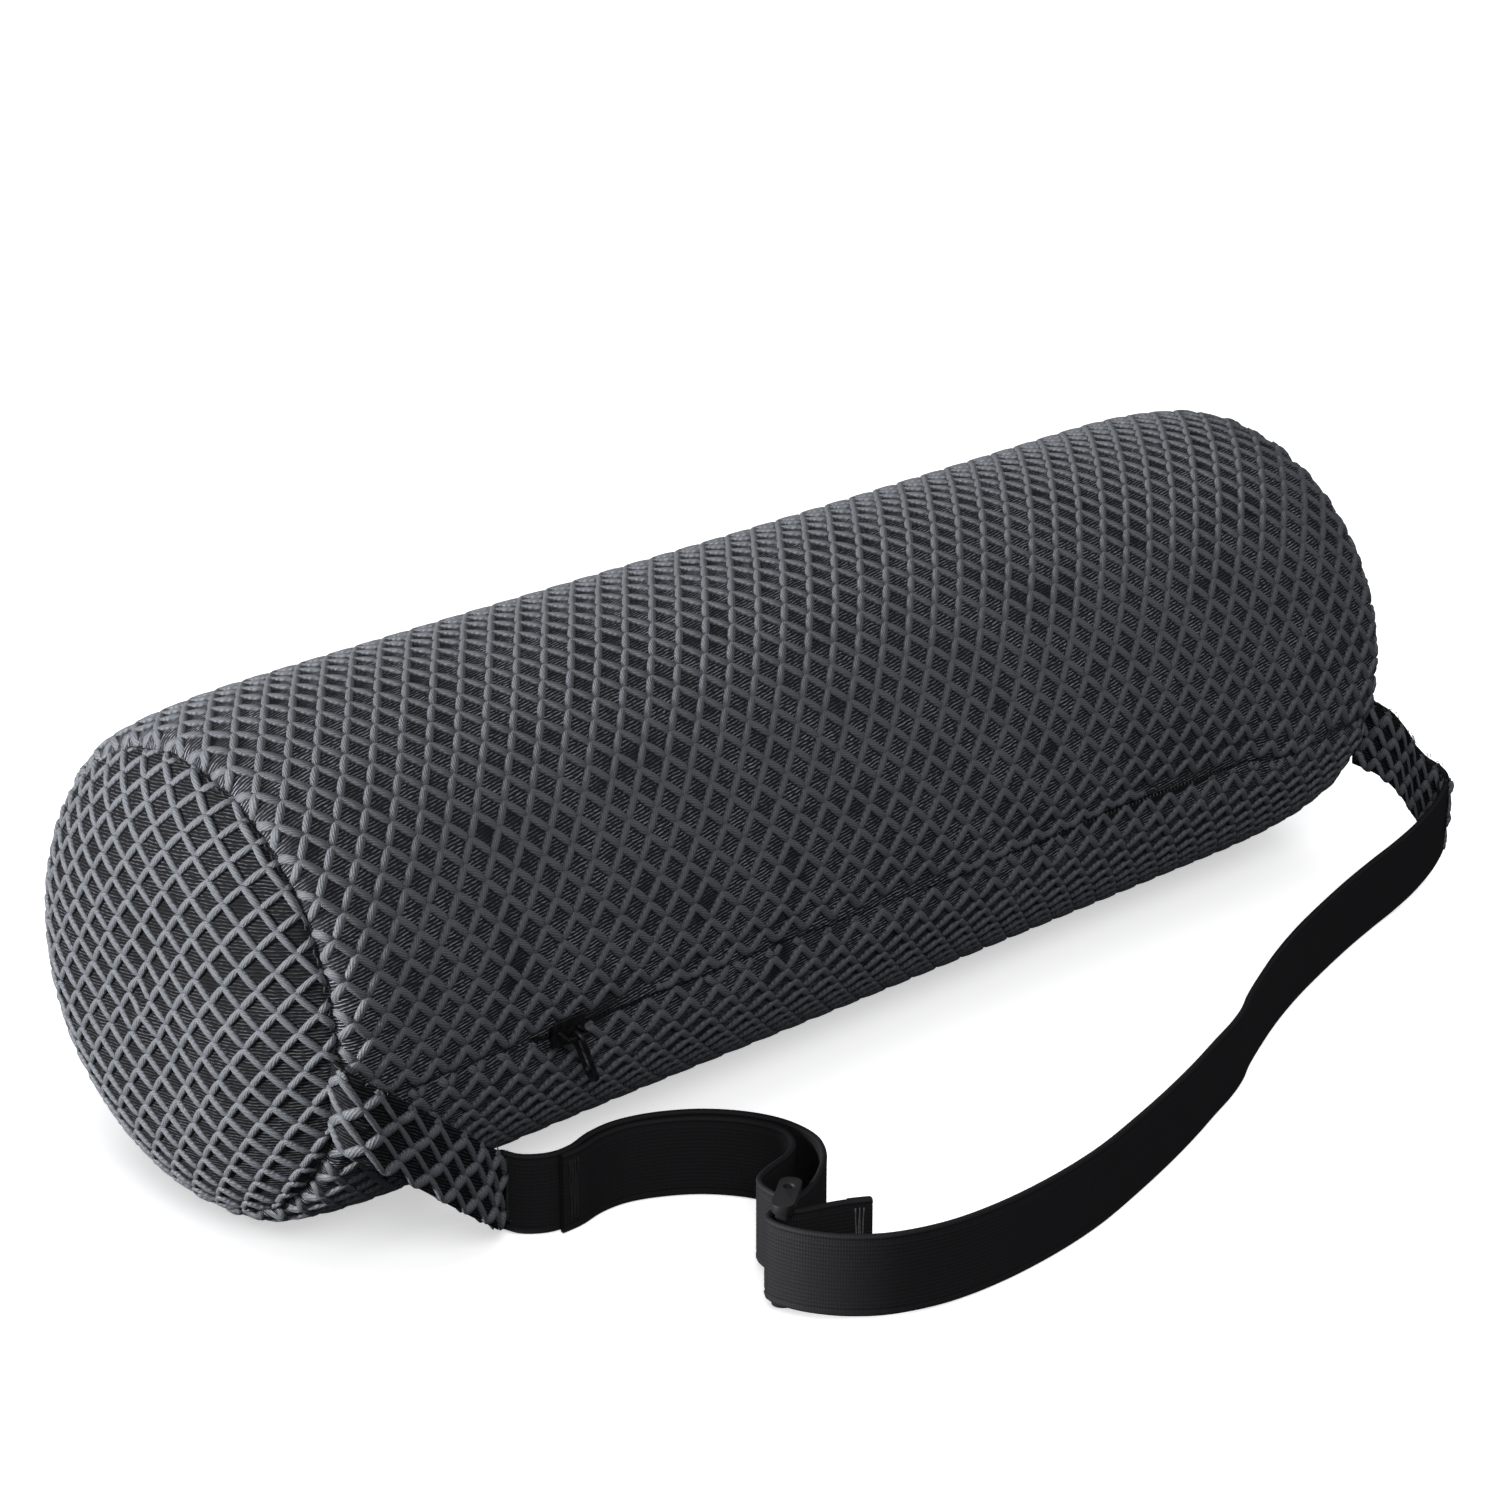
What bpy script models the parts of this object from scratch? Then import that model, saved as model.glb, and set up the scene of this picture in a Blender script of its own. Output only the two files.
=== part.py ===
"""A lumbar roll: a foam cylinder in a zipped mesh cover, with an elastic strap and a three-bar adjuster.

Frame: +X along the roll, the strap and the zip on the -Y side, +Z up. The origin is the centre of the
flat that the roll rests on. All sizes are in metres.
"""

from math import cos, pi, radians, sin, sqrt

import bmesh
import bpy
from mathutils import Matrix, Vector

# ---- driving dimensions -------------------------------------------------------------------------
ROLL_RADIUS = 0.060
SEAM_HALF_SPAN = 0.171      # from the middle of the roll to each end seam
SEAM_RADIUS = 0.0555        # the seams pull the ends in
PINCH_LENGTH = 0.036        # how far from its seam the panel starts to taper
DOME_HEIGHT = 0.014         # how far each end disc bulges past its seam
DOME_POWER = 4.7            # high, so the disc is flat in the middle and round at its rim
FABRIC = 0.0020             # thickness of the mesh cover
GAP = 0.0003                # between pieces that touch
SIDES = 48                  # facets round the roll
REST_ANGLE = radians(10)    # half the arc that the floor flattens
AXIS_HEIGHT = ROLL_RADIUS * cos(REST_ANGLE)

ZIP_ANGLE = radians(100)    # down the front, from the top of the roll
ZIP_HALF_LENGTH = 0.1175    # of the chain
SLIT_HALF_WIDTH = 0.0045    # of the opening that the zip closes
TAPE_HALF_WIDTH = 0.013
TAPE_THICKNESS = 0.0008
CHAIN_GAP = 0.0008          # from the middle of the chain to each row of coils
COIL_WIDTH = 0.0018
COIL_HEIGHT = 0.0014
STOP_LENGTH = 0.0015
SLIDER_X = -0.112
SLIDER_LENGTH = 0.009
SLIDER_WIDTH = 0.007
BAIL_HEIGHT = 0.0030        # from the slider's top plate to the underside of the bail's top
PULL_LENGTH = 0.0150
PULL_HALF_WIDTH = 0.0021
PULL_LEAN = radians(20)     # the pull hangs a little towards +X

STRAP_WIDTH = 0.020
STRAP_THICKNESS = 0.0014
FLOOR_GAP = 0.0002          # below the strap, which stands on its edge
TAB_THICKNESS = 0.0024

ADJUSTER_CENTRE = Vector((-0.0970, -0.1140))
ADJUSTER_LONG = Vector((0.8, 0.6))      # across its three bars
ADJUSTER_OUT = Vector((0.6, -0.8))      # its outer face
ADJUSTER_HALF_LENGTH = 0.0068
ADJUSTER_HEIGHT = 0.0250
ADJUSTER_RAIL = 0.0022                  # height of each end rail
ADJUSTER_RAIL_HALF_DEPTH = 0.0025
ADJUSTER_BAR_HALF_DEPTH = 0.0015
SLOT_FROM, SLOT_TO = 0.0013, 0.0046     # each slot, measured from the middle of the adjuster

THREAD = 0.0007                         # diameter of the sewing thread

# ---- the strap's and the tabs' routes, as (x, y, height of the lower edge) ----------------------------------
TAB_LEFT_ROUTE = (
    (-0.1716, -0.0578, 0.0380),
    (-0.1660, -0.0605, 0.0340),
    (-0.1580, -0.0620, 0.0275),
    (-0.1480, -0.0622, 0.0190),
    (-0.1380, -0.0598, 0.0105),
    (-0.1310, -0.0560, 0.0045),
    (-0.1274, -0.0528, 0.0018),
)
STRAP_LEFT_ROUTE = (
    (-0.1264, -0.0518, 0.0012),
    (-0.1232, -0.0552, 0.0002),
    (-0.1180, -0.0588, 0.0002),
    (-0.1120, -0.0592, 0.0002),
    (-0.1050, -0.0573, 0.0002),
    (-0.0970, -0.0572, 0.0002),
    (-0.0880, -0.0602, 0.0002),
    (-0.0790, -0.0662, 0.0002),
    (-0.0720, -0.0746, 0.0002),
    (-0.0686, -0.0840, 0.0004),
    (-0.0696, -0.0940, 0.0010),
    (-0.0748, -0.1022, 0.0018),
    (-0.0815, -0.1080, 0.0024),
    (-0.0868, -0.1112, 0.0025),
    (-0.0909, -0.1129, 0.0025),
    (-0.0934, -0.1134, 0.0025),
    (-0.0949, -0.1125, 0.0025),
    (-0.0957, -0.1106, 0.0025),
    (-0.0960, -0.1075, 0.0025),
    (-0.0954, -0.1040, 0.0025),
    (-0.0932, -0.1010, 0.0022),
    (-0.0890, -0.0986, 0.0016),
    (-0.0840, -0.0966, 0.0010),
    (-0.0790, -0.0948, 0.0005),
    (-0.0748, -0.0922, 0.0002),
    (-0.0724, -0.0882, 0.0002),
    (-0.0720, -0.0835, 0.0002),
    (-0.0750, -0.0762, 0.0002),
    (-0.0813, -0.0686, 0.0002),
    (-0.0892, -0.0631, 0.0002),
    (-0.0968, -0.0604, 0.0002),
    (-0.1040, -0.0602, 0.0002),
    (-0.1090, -0.0616, 0.0002),
)
STRAP_RIGHT_ROUTE = (
    (0.1862, -0.0652, 0.0130),
    (0.1884, -0.0670, 0.0125),
    (0.1892, -0.0695, 0.0115),
    (0.1876, -0.0718, 0.0100),
    (0.1840, -0.0730, 0.0085),
    (0.1760, -0.0743, 0.0055),
    (0.1660, -0.0757, 0.0025),
    (0.1550, -0.0774, 0.0008),
    (0.1430, -0.0798, 0.0002),
    (0.1290, -0.0835, 0.0002),
    (0.1130, -0.0883, 0.0002),
    (0.0970, -0.0936, 0.0002),
    (0.0820, -0.0995, 0.0002),
    (0.0690, -0.1055, 0.0002),
    (0.0590, -0.1105, 0.0002),
    (0.0520, -0.1146, 0.0002),
    (0.0440, -0.1182, 0.0002),
    (0.0340, -0.1218, 0.0002),
    (0.0220, -0.1262, 0.0002),
    (0.0080, -0.1308, 0.0002),
    (-0.0080, -0.1354, 0.0002),
    (-0.0250, -0.1396, 0.0002),
    (-0.0420, -0.1419, 0.0002),
    (-0.0590, -0.1424, 0.0002),
    (-0.0740, -0.1410, 0.0004),
    (-0.0870, -0.1374, 0.0010),
    (-0.0960, -0.1324, 0.0018),
    (-0.1018, -0.1264, 0.0024),
    (-0.1042, -0.1212, 0.0025),
    (-0.1048, -0.1182, 0.0025),
    (-0.1044, -0.1158, 0.0025),
    (-0.1028, -0.1145, 0.0025),
    (-0.1009, -0.1146, 0.0025),
    (-0.0993, -0.1159, 0.0025),
    (-0.0976, -0.1176, 0.0025),
    (-0.0950, -0.1188, 0.0025),
    (-0.0910, -0.1200, 0.0024),
    (-0.0860, -0.1214, 0.0020),
    (-0.0805, -0.1234, 0.0014),
)
TAB_RIGHT_ROUTE = (
    (0.1718, -0.0590, 0.0300),
    (0.1765, -0.0610, 0.0250),
    (0.1815, -0.0628, 0.0180),
    (0.1856, -0.0648, 0.0133),
)


# ---- materials ----------------------------------------------------------------------------------
def material(name, colour, roughness, metallic=0.0):
    made = bpy.data.materials.new(name)
    made.use_nodes = True
    shader = made.node_tree.nodes["Principled BSDF"]
    shader.inputs["Base Color"].default_value = (*colour, 1.0)
    shader.inputs["Roughness"].default_value = roughness
    shader.inputs["Metallic"].default_value = metallic
    return made


def finish(name, points, faces, surface, sharp=radians(40)):
    """A named object from points and faces, its normals pointing out."""
    mesh = bpy.data.meshes.new(name)
    mesh.from_pydata([tuple(p) for p in points], [], faces)
    work = bmesh.new()
    work.from_mesh(mesh)
    bmesh.ops.recalc_face_normals(work, faces=work.faces)
    work.to_mesh(mesh)
    work.free()
    mesh.materials.append(surface)
    mesh.shade_smooth()
    mesh.set_sharp_from_angle(angle=sharp)
    made = bpy.data.objects.new(name, mesh)
    bpy.context.scene.collection.objects.link(made)
    return made


# ---- the roll: turned shapes ----------------------------------------------------------------------
def panel_profile(inset):
    """(x, radius) of the body panel from seam to seam, moved in by inset."""
    taper = [i / 5 for i in range(1, 6)]
    right = [
        (
            SEAM_HALF_SPAN - PINCH_LENGTH + PINCH_LENGTH * t,
            SEAM_RADIUS + (ROLL_RADIUS - SEAM_RADIUS) * sqrt(max(0.0, 1 - t * t)) - inset,
        )
        for t in taper
    ]
    middle = [
        (x, ROLL_RADIUS - inset)
        for x in (-SEAM_HALF_SPAN + PINCH_LENGTH, 0.0, SEAM_HALF_SPAN - PINCH_LENGTH)
    ]
    left = [(-x, r) for x, r in reversed(right)]
    return left + middle + right


def dome_profile(inset):
    """(x, radius) of the right end disc from its rim to its middle, moved in by inset."""
    steps = (1.0, 0.97, 0.92, 0.84, 0.72, 0.5, 0.25)
    rim = SEAM_RADIUS - inset
    return [(SEAM_HALF_SPAN + DOME_HEIGHT * (1 - q**DOME_POWER) - inset, rim * q) for q in steps]


def ring(x, radius):
    """Points round the roll's axis at x. The facet at the bottom spans the whole flattened arc."""
    points = []
    for i in range(SIDES):
        angle = REST_ANGLE + 2 * (pi - REST_ANGLE) * i / (SIDES - 1)
        points.append((x, radius * sin(angle), AXIS_HEIGHT - radius * cos(angle)))
    return points


def join_rings(faces, first, second):
    for i in range(SIDES):
        j = (i + 1) % SIDES
        faces.append((first + i, first + j, second + j, second + i))


def turned(name, outer, inner, surface, tip=None, inner_tip=None):
    """A shell between two profiles, or a solid if inner is None. Tips close the ends on the axis."""
    points, faces = [], []

    def add(profile):
        first = len(points)
        for x, radius in profile:
            points.extend(ring(x, radius))
        for k in range(len(profile) - 1):
            join_rings(faces, first + k * SIDES, first + (k + 1) * SIDES)
        return first, first + (len(profile) - 1) * SIDES

    def close(first, x):
        points.append((x, 0.0, AXIS_HEIGHT))
        for i in range(SIDES):
            faces.append((first + i, first + (i + 1) % SIDES, len(points) - 1))

    start, end = add(outer)
    if inner is None:
        close(start, tip[0])
        close(end, tip[1])
    else:
        inner_start, inner_end = add(inner)
        join_rings(faces, start, inner_start)
        if inner_tip is None:
            join_rings(faces, end, inner_end)
        else:
            close(end, tip)
            close(inner_end, inner_tip)
    return finish(name, points, faces, surface)


def around_zip(radius, across):
    """(y, z) of a point at this radius, and this far down the surface from the zip's middle."""
    angle = ZIP_ANGLE + across / radius
    return -radius * sin(angle), AXIS_HEIGHT + radius * cos(angle)


def curved_bar(name, x_range, radii, across, surface, steps=1):
    """A bar along X whose section is part of a ring round the roll's axis."""
    section = []
    for radius, order in ((radii[0], 1), (radii[1], -1)):
        for k in range(steps + 1)[::order]:
            section.append(around_zip(radius, across[0] + (across[1] - across[0]) * k / steps))
    return prism_along_x(name, section, x_range, surface)


def prism_along_x(name, section, x_range, surface):
    n = len(section)
    points = [(x, y, z) for x in x_range for y, z in section]
    faces = [(i, (i + 1) % n, n + (i + 1) % n, n + i) for i in range(n)]
    faces += [tuple(range(n)), tuple(range(n, 2 * n))]
    return finish(name, points, faces, surface)


def cut(target, cutter):
    """Takes the cutter out of the target. The cutter stays as a hidden guide."""
    modifier = target.modifiers.new("cut", "BOOLEAN")
    modifier.operation = "DIFFERENCE"
    modifier.solver = "EXACT"
    modifier.object = cutter
    cutter.hide_render = True
    cutter.display_type = "WIRE"


def make_roll(fabric, foam):
    panel = turned("cover_panel", trimmed(panel_profile(0.0)), trimmed(panel_profile(FABRIC)), fabric)
    slit_end = ZIP_HALF_LENGTH + 2 * STOP_LENGTH + GAP
    slit = curved_bar(
        "slit_guide",
        (-slit_end, slit_end),
        (ROLL_RADIUS - 2 * FABRIC, ROLL_RADIUS + FABRIC),
        (-SLIT_HALF_WIDTH, SLIT_HALF_WIDTH),
        fabric,
        steps=2,
    )
    cut(panel, slit)
    for side, name in ((1, "cap_right"), (-1, "cap_left")):
        outer, inner = dome_profile(0.0), dome_profile(FABRIC)
        tip, inner_tip = SEAM_HALF_SPAN + DOME_HEIGHT, SEAM_HALF_SPAN + DOME_HEIGHT - FABRIC
        inner = [(max(x, SEAM_HALF_SPAN + GAP / 2), r) for x, r in inner[1:]]
        outer = [(max(x, SEAM_HALF_SPAN + GAP / 2), r) for x, r in outer]
        cap = turned(name, outer, inner, fabric, tip=tip, inner_tip=inner_tip)
        if side < 0:
            cap.data.transform(Matrix.Scale(-1, 4, (1, 0, 0)))
            cap.data.flip_normals()
    core_inset = FABRIC + GAP
    core_end = SEAM_HALF_SPAN + DOME_HEIGHT - core_inset
    core = turned(
        "foam_core",
        core_profile(core_inset),
        None,
        foam,
        tip=(-core_end, core_end),
    )
    relief_end = ZIP_HALF_LENGTH + 0.006
    relief = curved_bar(
        "relief_guide",
        (-relief_end, relief_end),
        (ROLL_RADIUS - 0.0048, ROLL_RADIUS + FABRIC),
        (-TAPE_HALF_WIDTH - 0.0015, TAPE_HALF_WIDTH + 0.0015),
        foam,
        steps=6,
    )
    cut(core, relief)


def trimmed(profile):
    """The panel's profile, stopped short of each seam by half the gap."""
    limit = SEAM_HALF_SPAN - GAP / 2
    return [(max(-limit, min(limit, x)), r) for x, r in profile]


def core_profile(inset):
    """(x, radius) of the foam, end to end, inside the panel and both end discs."""
    dome = [(x - GAP, r - GAP) for x, r in dome_profile(FABRIC)[1:]]
    body = [(x, r) for x, r in panel_profile(inset) if abs(x) < SEAM_HALF_SPAN - 0.001]
    return [(-x, r) for x, r in reversed(dome)] + body + dome


# ---- the zip ------------------------------------------------------------------------------------
TAPE_OUTER = ROLL_RADIUS - FABRIC - 0.0005
COIL_INNER = TAPE_OUTER + GAP
COIL_OUTER = COIL_INNER + COIL_HEIGHT
SLIDER_TOP = COIL_OUTER + GAP + 0.0008
BAIL_BAR = 0.0009
BAR_RADIUS = SLIDER_TOP + BAIL_HEIGHT + BAIL_BAR / 2 - 0.0004


def zip_point(x, radius, across=0.0):
    """A point by the zip: along the roll, out from its axis, and down the surface."""
    out = Vector((0.0, -sin(ZIP_ANGLE), cos(ZIP_ANGLE)))
    down = Vector((0.0, -cos(ZIP_ANGLE), -sin(ZIP_ANGLE)))
    return Vector((x, 0.0, AXIS_HEIGHT)) + out * radius + down * across


def zip_box(x_range, radii, across):
    """The eight corners and six faces of a block squared to the zip."""
    corners = [zip_point(x, r, a) for x in x_range for r in radii for a in across]
    faces = [(0, 1, 3, 2), (4, 6, 7, 5), (0, 4, 5, 1), (2, 3, 7, 6), (0, 2, 6, 4), (1, 5, 7, 3)]
    return corners, faces


def united(name, blocks, surface):
    """One body from blocks that overlap."""
    made = []
    for i, (points, faces) in enumerate(blocks):
        made.append(finish(name if i == 0 else f"{name}_block_{i}", points, faces, surface))
    for other in made[1:]:
        modifier = made[0].modifiers.new("join", "BOOLEAN")
        modifier.operation = "UNION"
        modifier.solver = "EXACT"
        modifier.object = other
        other.hide_render = True
        other.display_type = "WIRE"
    return made[0]


def make_zip(tape, coil, metal):
    end = ZIP_HALF_LENGTH + 2 * STOP_LENGTH
    for name, side in (("upper", -1), ("lower", 1)):
        edges = sorted((side * CHAIN_GAP, side * TAPE_HALF_WIDTH))
        radii = (TAPE_OUTER - TAPE_THICKNESS, TAPE_OUTER)
        curved_bar(f"zip_tape_{name}", (-end, end), radii, edges, tape, steps=5)
        edges = sorted((side * CHAIN_GAP, side * (CHAIN_GAP + COIL_WIDTH)))
        chain = (-ZIP_HALF_LENGTH, ZIP_HALF_LENGTH)
        curved_bar(f"zip_coil_{name}", chain, (COIL_INNER, COIL_OUTER), edges, coil, steps=2)
    half = CHAIN_GAP + COIL_WIDTH
    for name, side in (("left", -1), ("right", 1)):
        near = ZIP_HALF_LENGTH + GAP
        x_range = sorted((side * near, side * (near + STOP_LENGTH)))
        points, faces = zip_box(x_range, (COIL_INNER + 0.0001, COIL_OUTER), (-half, half))
        finish(f"zip_stop_{name}", points, faces, metal)
    make_slider(metal)
    make_pull(metal)


def make_slider(metal):
    """Two plates round the chain, the wedge between them, and the bail that holds the pull."""
    x0, x1 = SLIDER_X - SLIDER_LENGTH / 2, SLIDER_X + SLIDER_LENGTH / 2
    half = SLIDER_WIDTH / 2
    plate = 0.0008
    lower_top = TAPE_OUTER - TAPE_THICKNESS - GAP
    wedge = 0.0005
    bail_half = 0.0006
    bail_x = (SLIDER_X - 0.0032, SLIDER_X + 0.0032)
    bail_top = BAR_RADIUS + BAIL_BAR / 2
    blocks = [
        zip_box((x0, x1), (SLIDER_TOP - plate, SLIDER_TOP), (-half, half)),
        zip_box((x0, x1), (lower_top - plate, lower_top), (-half, half)),
        zip_box((x0 + 0.0004, x0 + 0.0044), (lower_top - plate / 2, SLIDER_TOP - plate / 2), (-wedge, wedge)),
        zip_box((bail_x[0], bail_x[0] + BAIL_BAR), (SLIDER_TOP - plate / 2, bail_top), (-bail_half, bail_half)),
        zip_box((bail_x[1] - BAIL_BAR, bail_x[1]), (SLIDER_TOP - plate / 2, bail_top), (-bail_half, bail_half)),
        zip_box(bail_x, (BAR_RADIUS - BAIL_BAR / 2, bail_top), (-bail_half, bail_half)),
    ]
    united("zip_slider", blocks, metal)


def make_pull(metal):
    """A flat slotted pull hanging from the bail. Its slot goes round the bail's top bar."""
    centre = zip_point(SLIDER_X, BAR_RADIUS)
    rim, thick, above = 0.0009, 0.0010, 0.0020
    outer = stadium(PULL_HALF_WIDTH, above, above - PULL_LENGTH)
    inner = stadium(PULL_HALF_WIDTH - rim, above - rim, above - PULL_LENGTH + 0.0030)
    points, faces = [], []
    n = len(outer)
    for x in (-thick / 2, thick / 2):
        for outline in (outer, inner):
            points += [Vector((x, y, z)) for y, z in outline]
    for i in range(n):
        j = (i + 1) % n
        faces += [(i, j, n + j, n + i), (2 * n + i, 3 * n + i, 3 * n + j, 2 * n + j)]
        faces += [(i, 2 * n + i, 2 * n + j, j), (n + i, n + j, 3 * n + j, 3 * n + i)]
    turn = Matrix.Rotation(-PULL_LEAN, 4, "Y")
    pull = finish("zip_pull", [turn @ p for p in points], faces, metal)
    pull.location = centre


def stadium(half_width, top, bottom, steps=6):
    """(y, z) round a slot shape with round ends."""
    outline = []
    for centre, start in ((top - half_width, 0.0), (bottom + half_width, pi)):
        for k in range(steps + 1):
            angle = start + pi * k / steps
            outline.append((half_width * cos(angle), centre + half_width * sin(angle)))
    return outline


# ---- ribbons: the tabs, the elastic and the adjuster ------------------------------------------------
def smooth_route(route, spacing):
    """Points along a Catmull-Rom curve through the route's own points."""
    knots = [Vector(p) for p in route]
    knots = [2 * knots[0] - knots[1], *knots, 2 * knots[-1] - knots[-2]]
    line = [knots[1]]
    for a, b, c, d in zip(knots, knots[1:], knots[2:], knots[3:]):
        count = max(1, round((c - b).length / spacing))
        for k in range(1, count + 1):
            t = k / count
            line.append(
                0.5 * (2 * b + (c - a) * t + (2 * a - 5 * b + 4 * c - d) * t**2 + (3 * b - a - 3 * c + d) * t**3)
            )
    return line


def sideways(line, k):
    """The level unit normal at point k, to the left of the way the line runs."""
    along = line[min(k + 1, len(line) - 1)] - line[max(k - 1, 0)]
    return Vector((-along.y, along.x, 0.0)).normalized()


def ribbon(name, route, height, thickness, surface, spacing):
    """A strip standing on its edge along a route: a closed solid of four long faces and two ends."""
    line = smooth_route(route, spacing)
    points, faces = [], []
    for k, at in enumerate(line):
        side = sideways(line, k) * thickness / 2
        top = Vector((0.0, 0.0, height))
        points += [at + side, at - side, at - side + top, at + side + top]
    for k in range(len(line) - 1):
        for i in range(4):
            j = (i + 1) % 4
            faces.append((4 * k + i, 4 * k + j, 4 * k + 4 + j, 4 * k + 4 + i))
    last = 4 * (len(line) - 1)
    faces += [(0, 3, 2, 1), (last, last + 1, last + 2, last + 3)]
    return finish(name, points, faces, surface)


def make_straps(fabric, elastic):
    ribbon("tab_left", TAB_LEFT_ROUTE, STRAP_WIDTH, TAB_THICKNESS, fabric, 0.006)
    ribbon("tab_right", TAB_RIGHT_ROUTE, STRAP_WIDTH, TAB_THICKNESS, fabric, 0.004)
    ribbon("strap_left", STRAP_LEFT_ROUTE, STRAP_WIDTH, STRAP_THICKNESS, elastic, 0.0035)
    ribbon("strap_right", STRAP_RIGHT_ROUTE, STRAP_WIDTH, STRAP_THICKNESS, elastic, 0.0045)


def adjuster_block(along, out, heights):
    """The corners and faces of a block squared to the adjuster."""
    corners = []
    for a in along:
        for b in out:
            at = ADJUSTER_CENTRE + ADJUSTER_LONG * a + ADJUSTER_OUT * b
            corners += [Vector((at.x, at.y, z)) for z in heights]
    faces = [(0, 1, 3, 2), (4, 6, 7, 5), (0, 4, 5, 1), (2, 3, 7, 6), (0, 2, 6, 4), (1, 5, 7, 3)]
    return corners, faces


def make_adjuster(plastic):
    """Three upright bars between a lower and an upper rail."""
    depth, rail = ADJUSTER_BAR_HALF_DEPTH, ADJUSTER_RAIL_HALF_DEPTH
    end = ADJUSTER_HALF_LENGTH
    inside = (ADJUSTER_RAIL / 2, ADJUSTER_HEIGHT - ADJUSTER_RAIL / 2)
    blocks = [
        adjuster_block((-end, end), (-rail, rail), (0.0, ADJUSTER_RAIL)),
        adjuster_block((-end, end), (-rail, rail), (ADJUSTER_HEIGHT - ADJUSTER_RAIL, ADJUSTER_HEIGHT)),
        adjuster_block((-end + 0.0001, -SLOT_TO), (-depth, depth), inside),
        adjuster_block((-SLOT_FROM, SLOT_FROM), (-depth, depth), inside),
        adjuster_block((SLOT_TO, end - 0.0001), (-depth, depth), inside),
    ]
    united("adjuster", blocks, plastic)


# ---- sewing thread --------------------------------------------------------------------------------
def thread(name, points, surface, closed=False, radius=THREAD / 2):
    """A round thread along these points."""
    curve = bpy.data.curves.new(name, "CURVE")
    curve.dimensions = "3D"
    curve.bevel_depth = radius
    curve.bevel_resolution = 0
    curve.use_fill_caps = not closed
    spline = curve.splines.new("POLY")
    spline.points.add(len(points) - 1)
    for knot, at in zip(spline.points, points):
        knot.co = (*at, 1.0)
    spline.use_cyclic_u = closed
    curve.materials.append(surface)
    made = bpy.data.objects.new(name, curve)
    bpy.context.scene.collection.objects.link(made)
    return made


def seam_thread(name, x, surface):
    """The ring of thread that closes an end seam."""
    thread(name, ring(x, SEAM_RADIUS + GAP + THREAD / 2), surface, closed=True)


def zigzag(name, route, at, span, thickness, surface, side=1, rows=8):
    """A zigzag of thread on one face of a ribbon, centred a share of the way along its route."""
    line = smooth_route(route, 0.0005)
    middle = round(at * (len(line) - 1))
    height = STRAP_WIDTH - 0.004
    lift = side * (thickness / 2 + GAP + THREAD / 2)
    points = []
    for k in range(rows + 1):
        index = middle + round((k / rows - 0.5) * span / 0.0005)
        index = max(0, min(len(line) - 1, index))
        base = line[index] + sideways(line, index) * lift
        points.append(base + Vector((0.0, 0.0, 0.002 + height * (k % 2))))
    thread(name, points, surface)


def make_sewing(surface):
    seam_thread("seam_thread_left", -SEAM_HALF_SPAN, surface)
    seam_thread("seam_thread_right", SEAM_HALF_SPAN, surface)
    zigzag("tab_stitch_left", TAB_LEFT_ROUTE, 0.90, 0.005, TAB_THICKNESS, surface, side=-1)
    zigzag("tab_stitch_right", TAB_RIGHT_ROUTE, 0.70, 0.004, TAB_THICKNESS, surface, side=-1, rows=6)
    zigzag("loop_stitch", STRAP_LEFT_ROUTE, 0.982, 0.003, STRAP_THICKNESS, surface, side=1, rows=6)
    zigzag("hem_stitch", STRAP_RIGHT_ROUTE, 0.992, 0.002, STRAP_THICKNESS, surface, side=-1, rows=4)


# ---- the whole -----------------------------------------------------------------------------------
def main():
    for old in list(bpy.data.objects):
        bpy.data.objects.remove(old)
    fabric = material("mesh_fabric", (0.045, 0.047, 0.053), 0.75)
    elastic = material("elastic", (0.008, 0.008, 0.009), 0.80)
    plastic = material("moulded_plastic", (0.012, 0.012, 0.013), 0.45)
    tape = material("zip_tape", (0.010, 0.010, 0.011), 0.85)
    coil = material("zip_coil", (0.012, 0.012, 0.013), 0.40)
    metal = material("zip_metal", (0.020, 0.020, 0.022), 0.35, 0.9)
    foam = material("foam", (0.55, 0.53, 0.48), 0.95)
    sewing = material("sewing_thread", (0.015, 0.015, 0.016), 0.80)
    make_roll(fabric, foam)
    make_zip(tape, coil, metal)
    make_straps(fabric, elastic)
    make_adjuster(plastic)
    make_sewing(sewing)


main()
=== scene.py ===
"""A lumbar roll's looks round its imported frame: netted cover, zip, elastic strap, adjuster."""

from math import ceil, cos, pi, radians, sin

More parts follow.
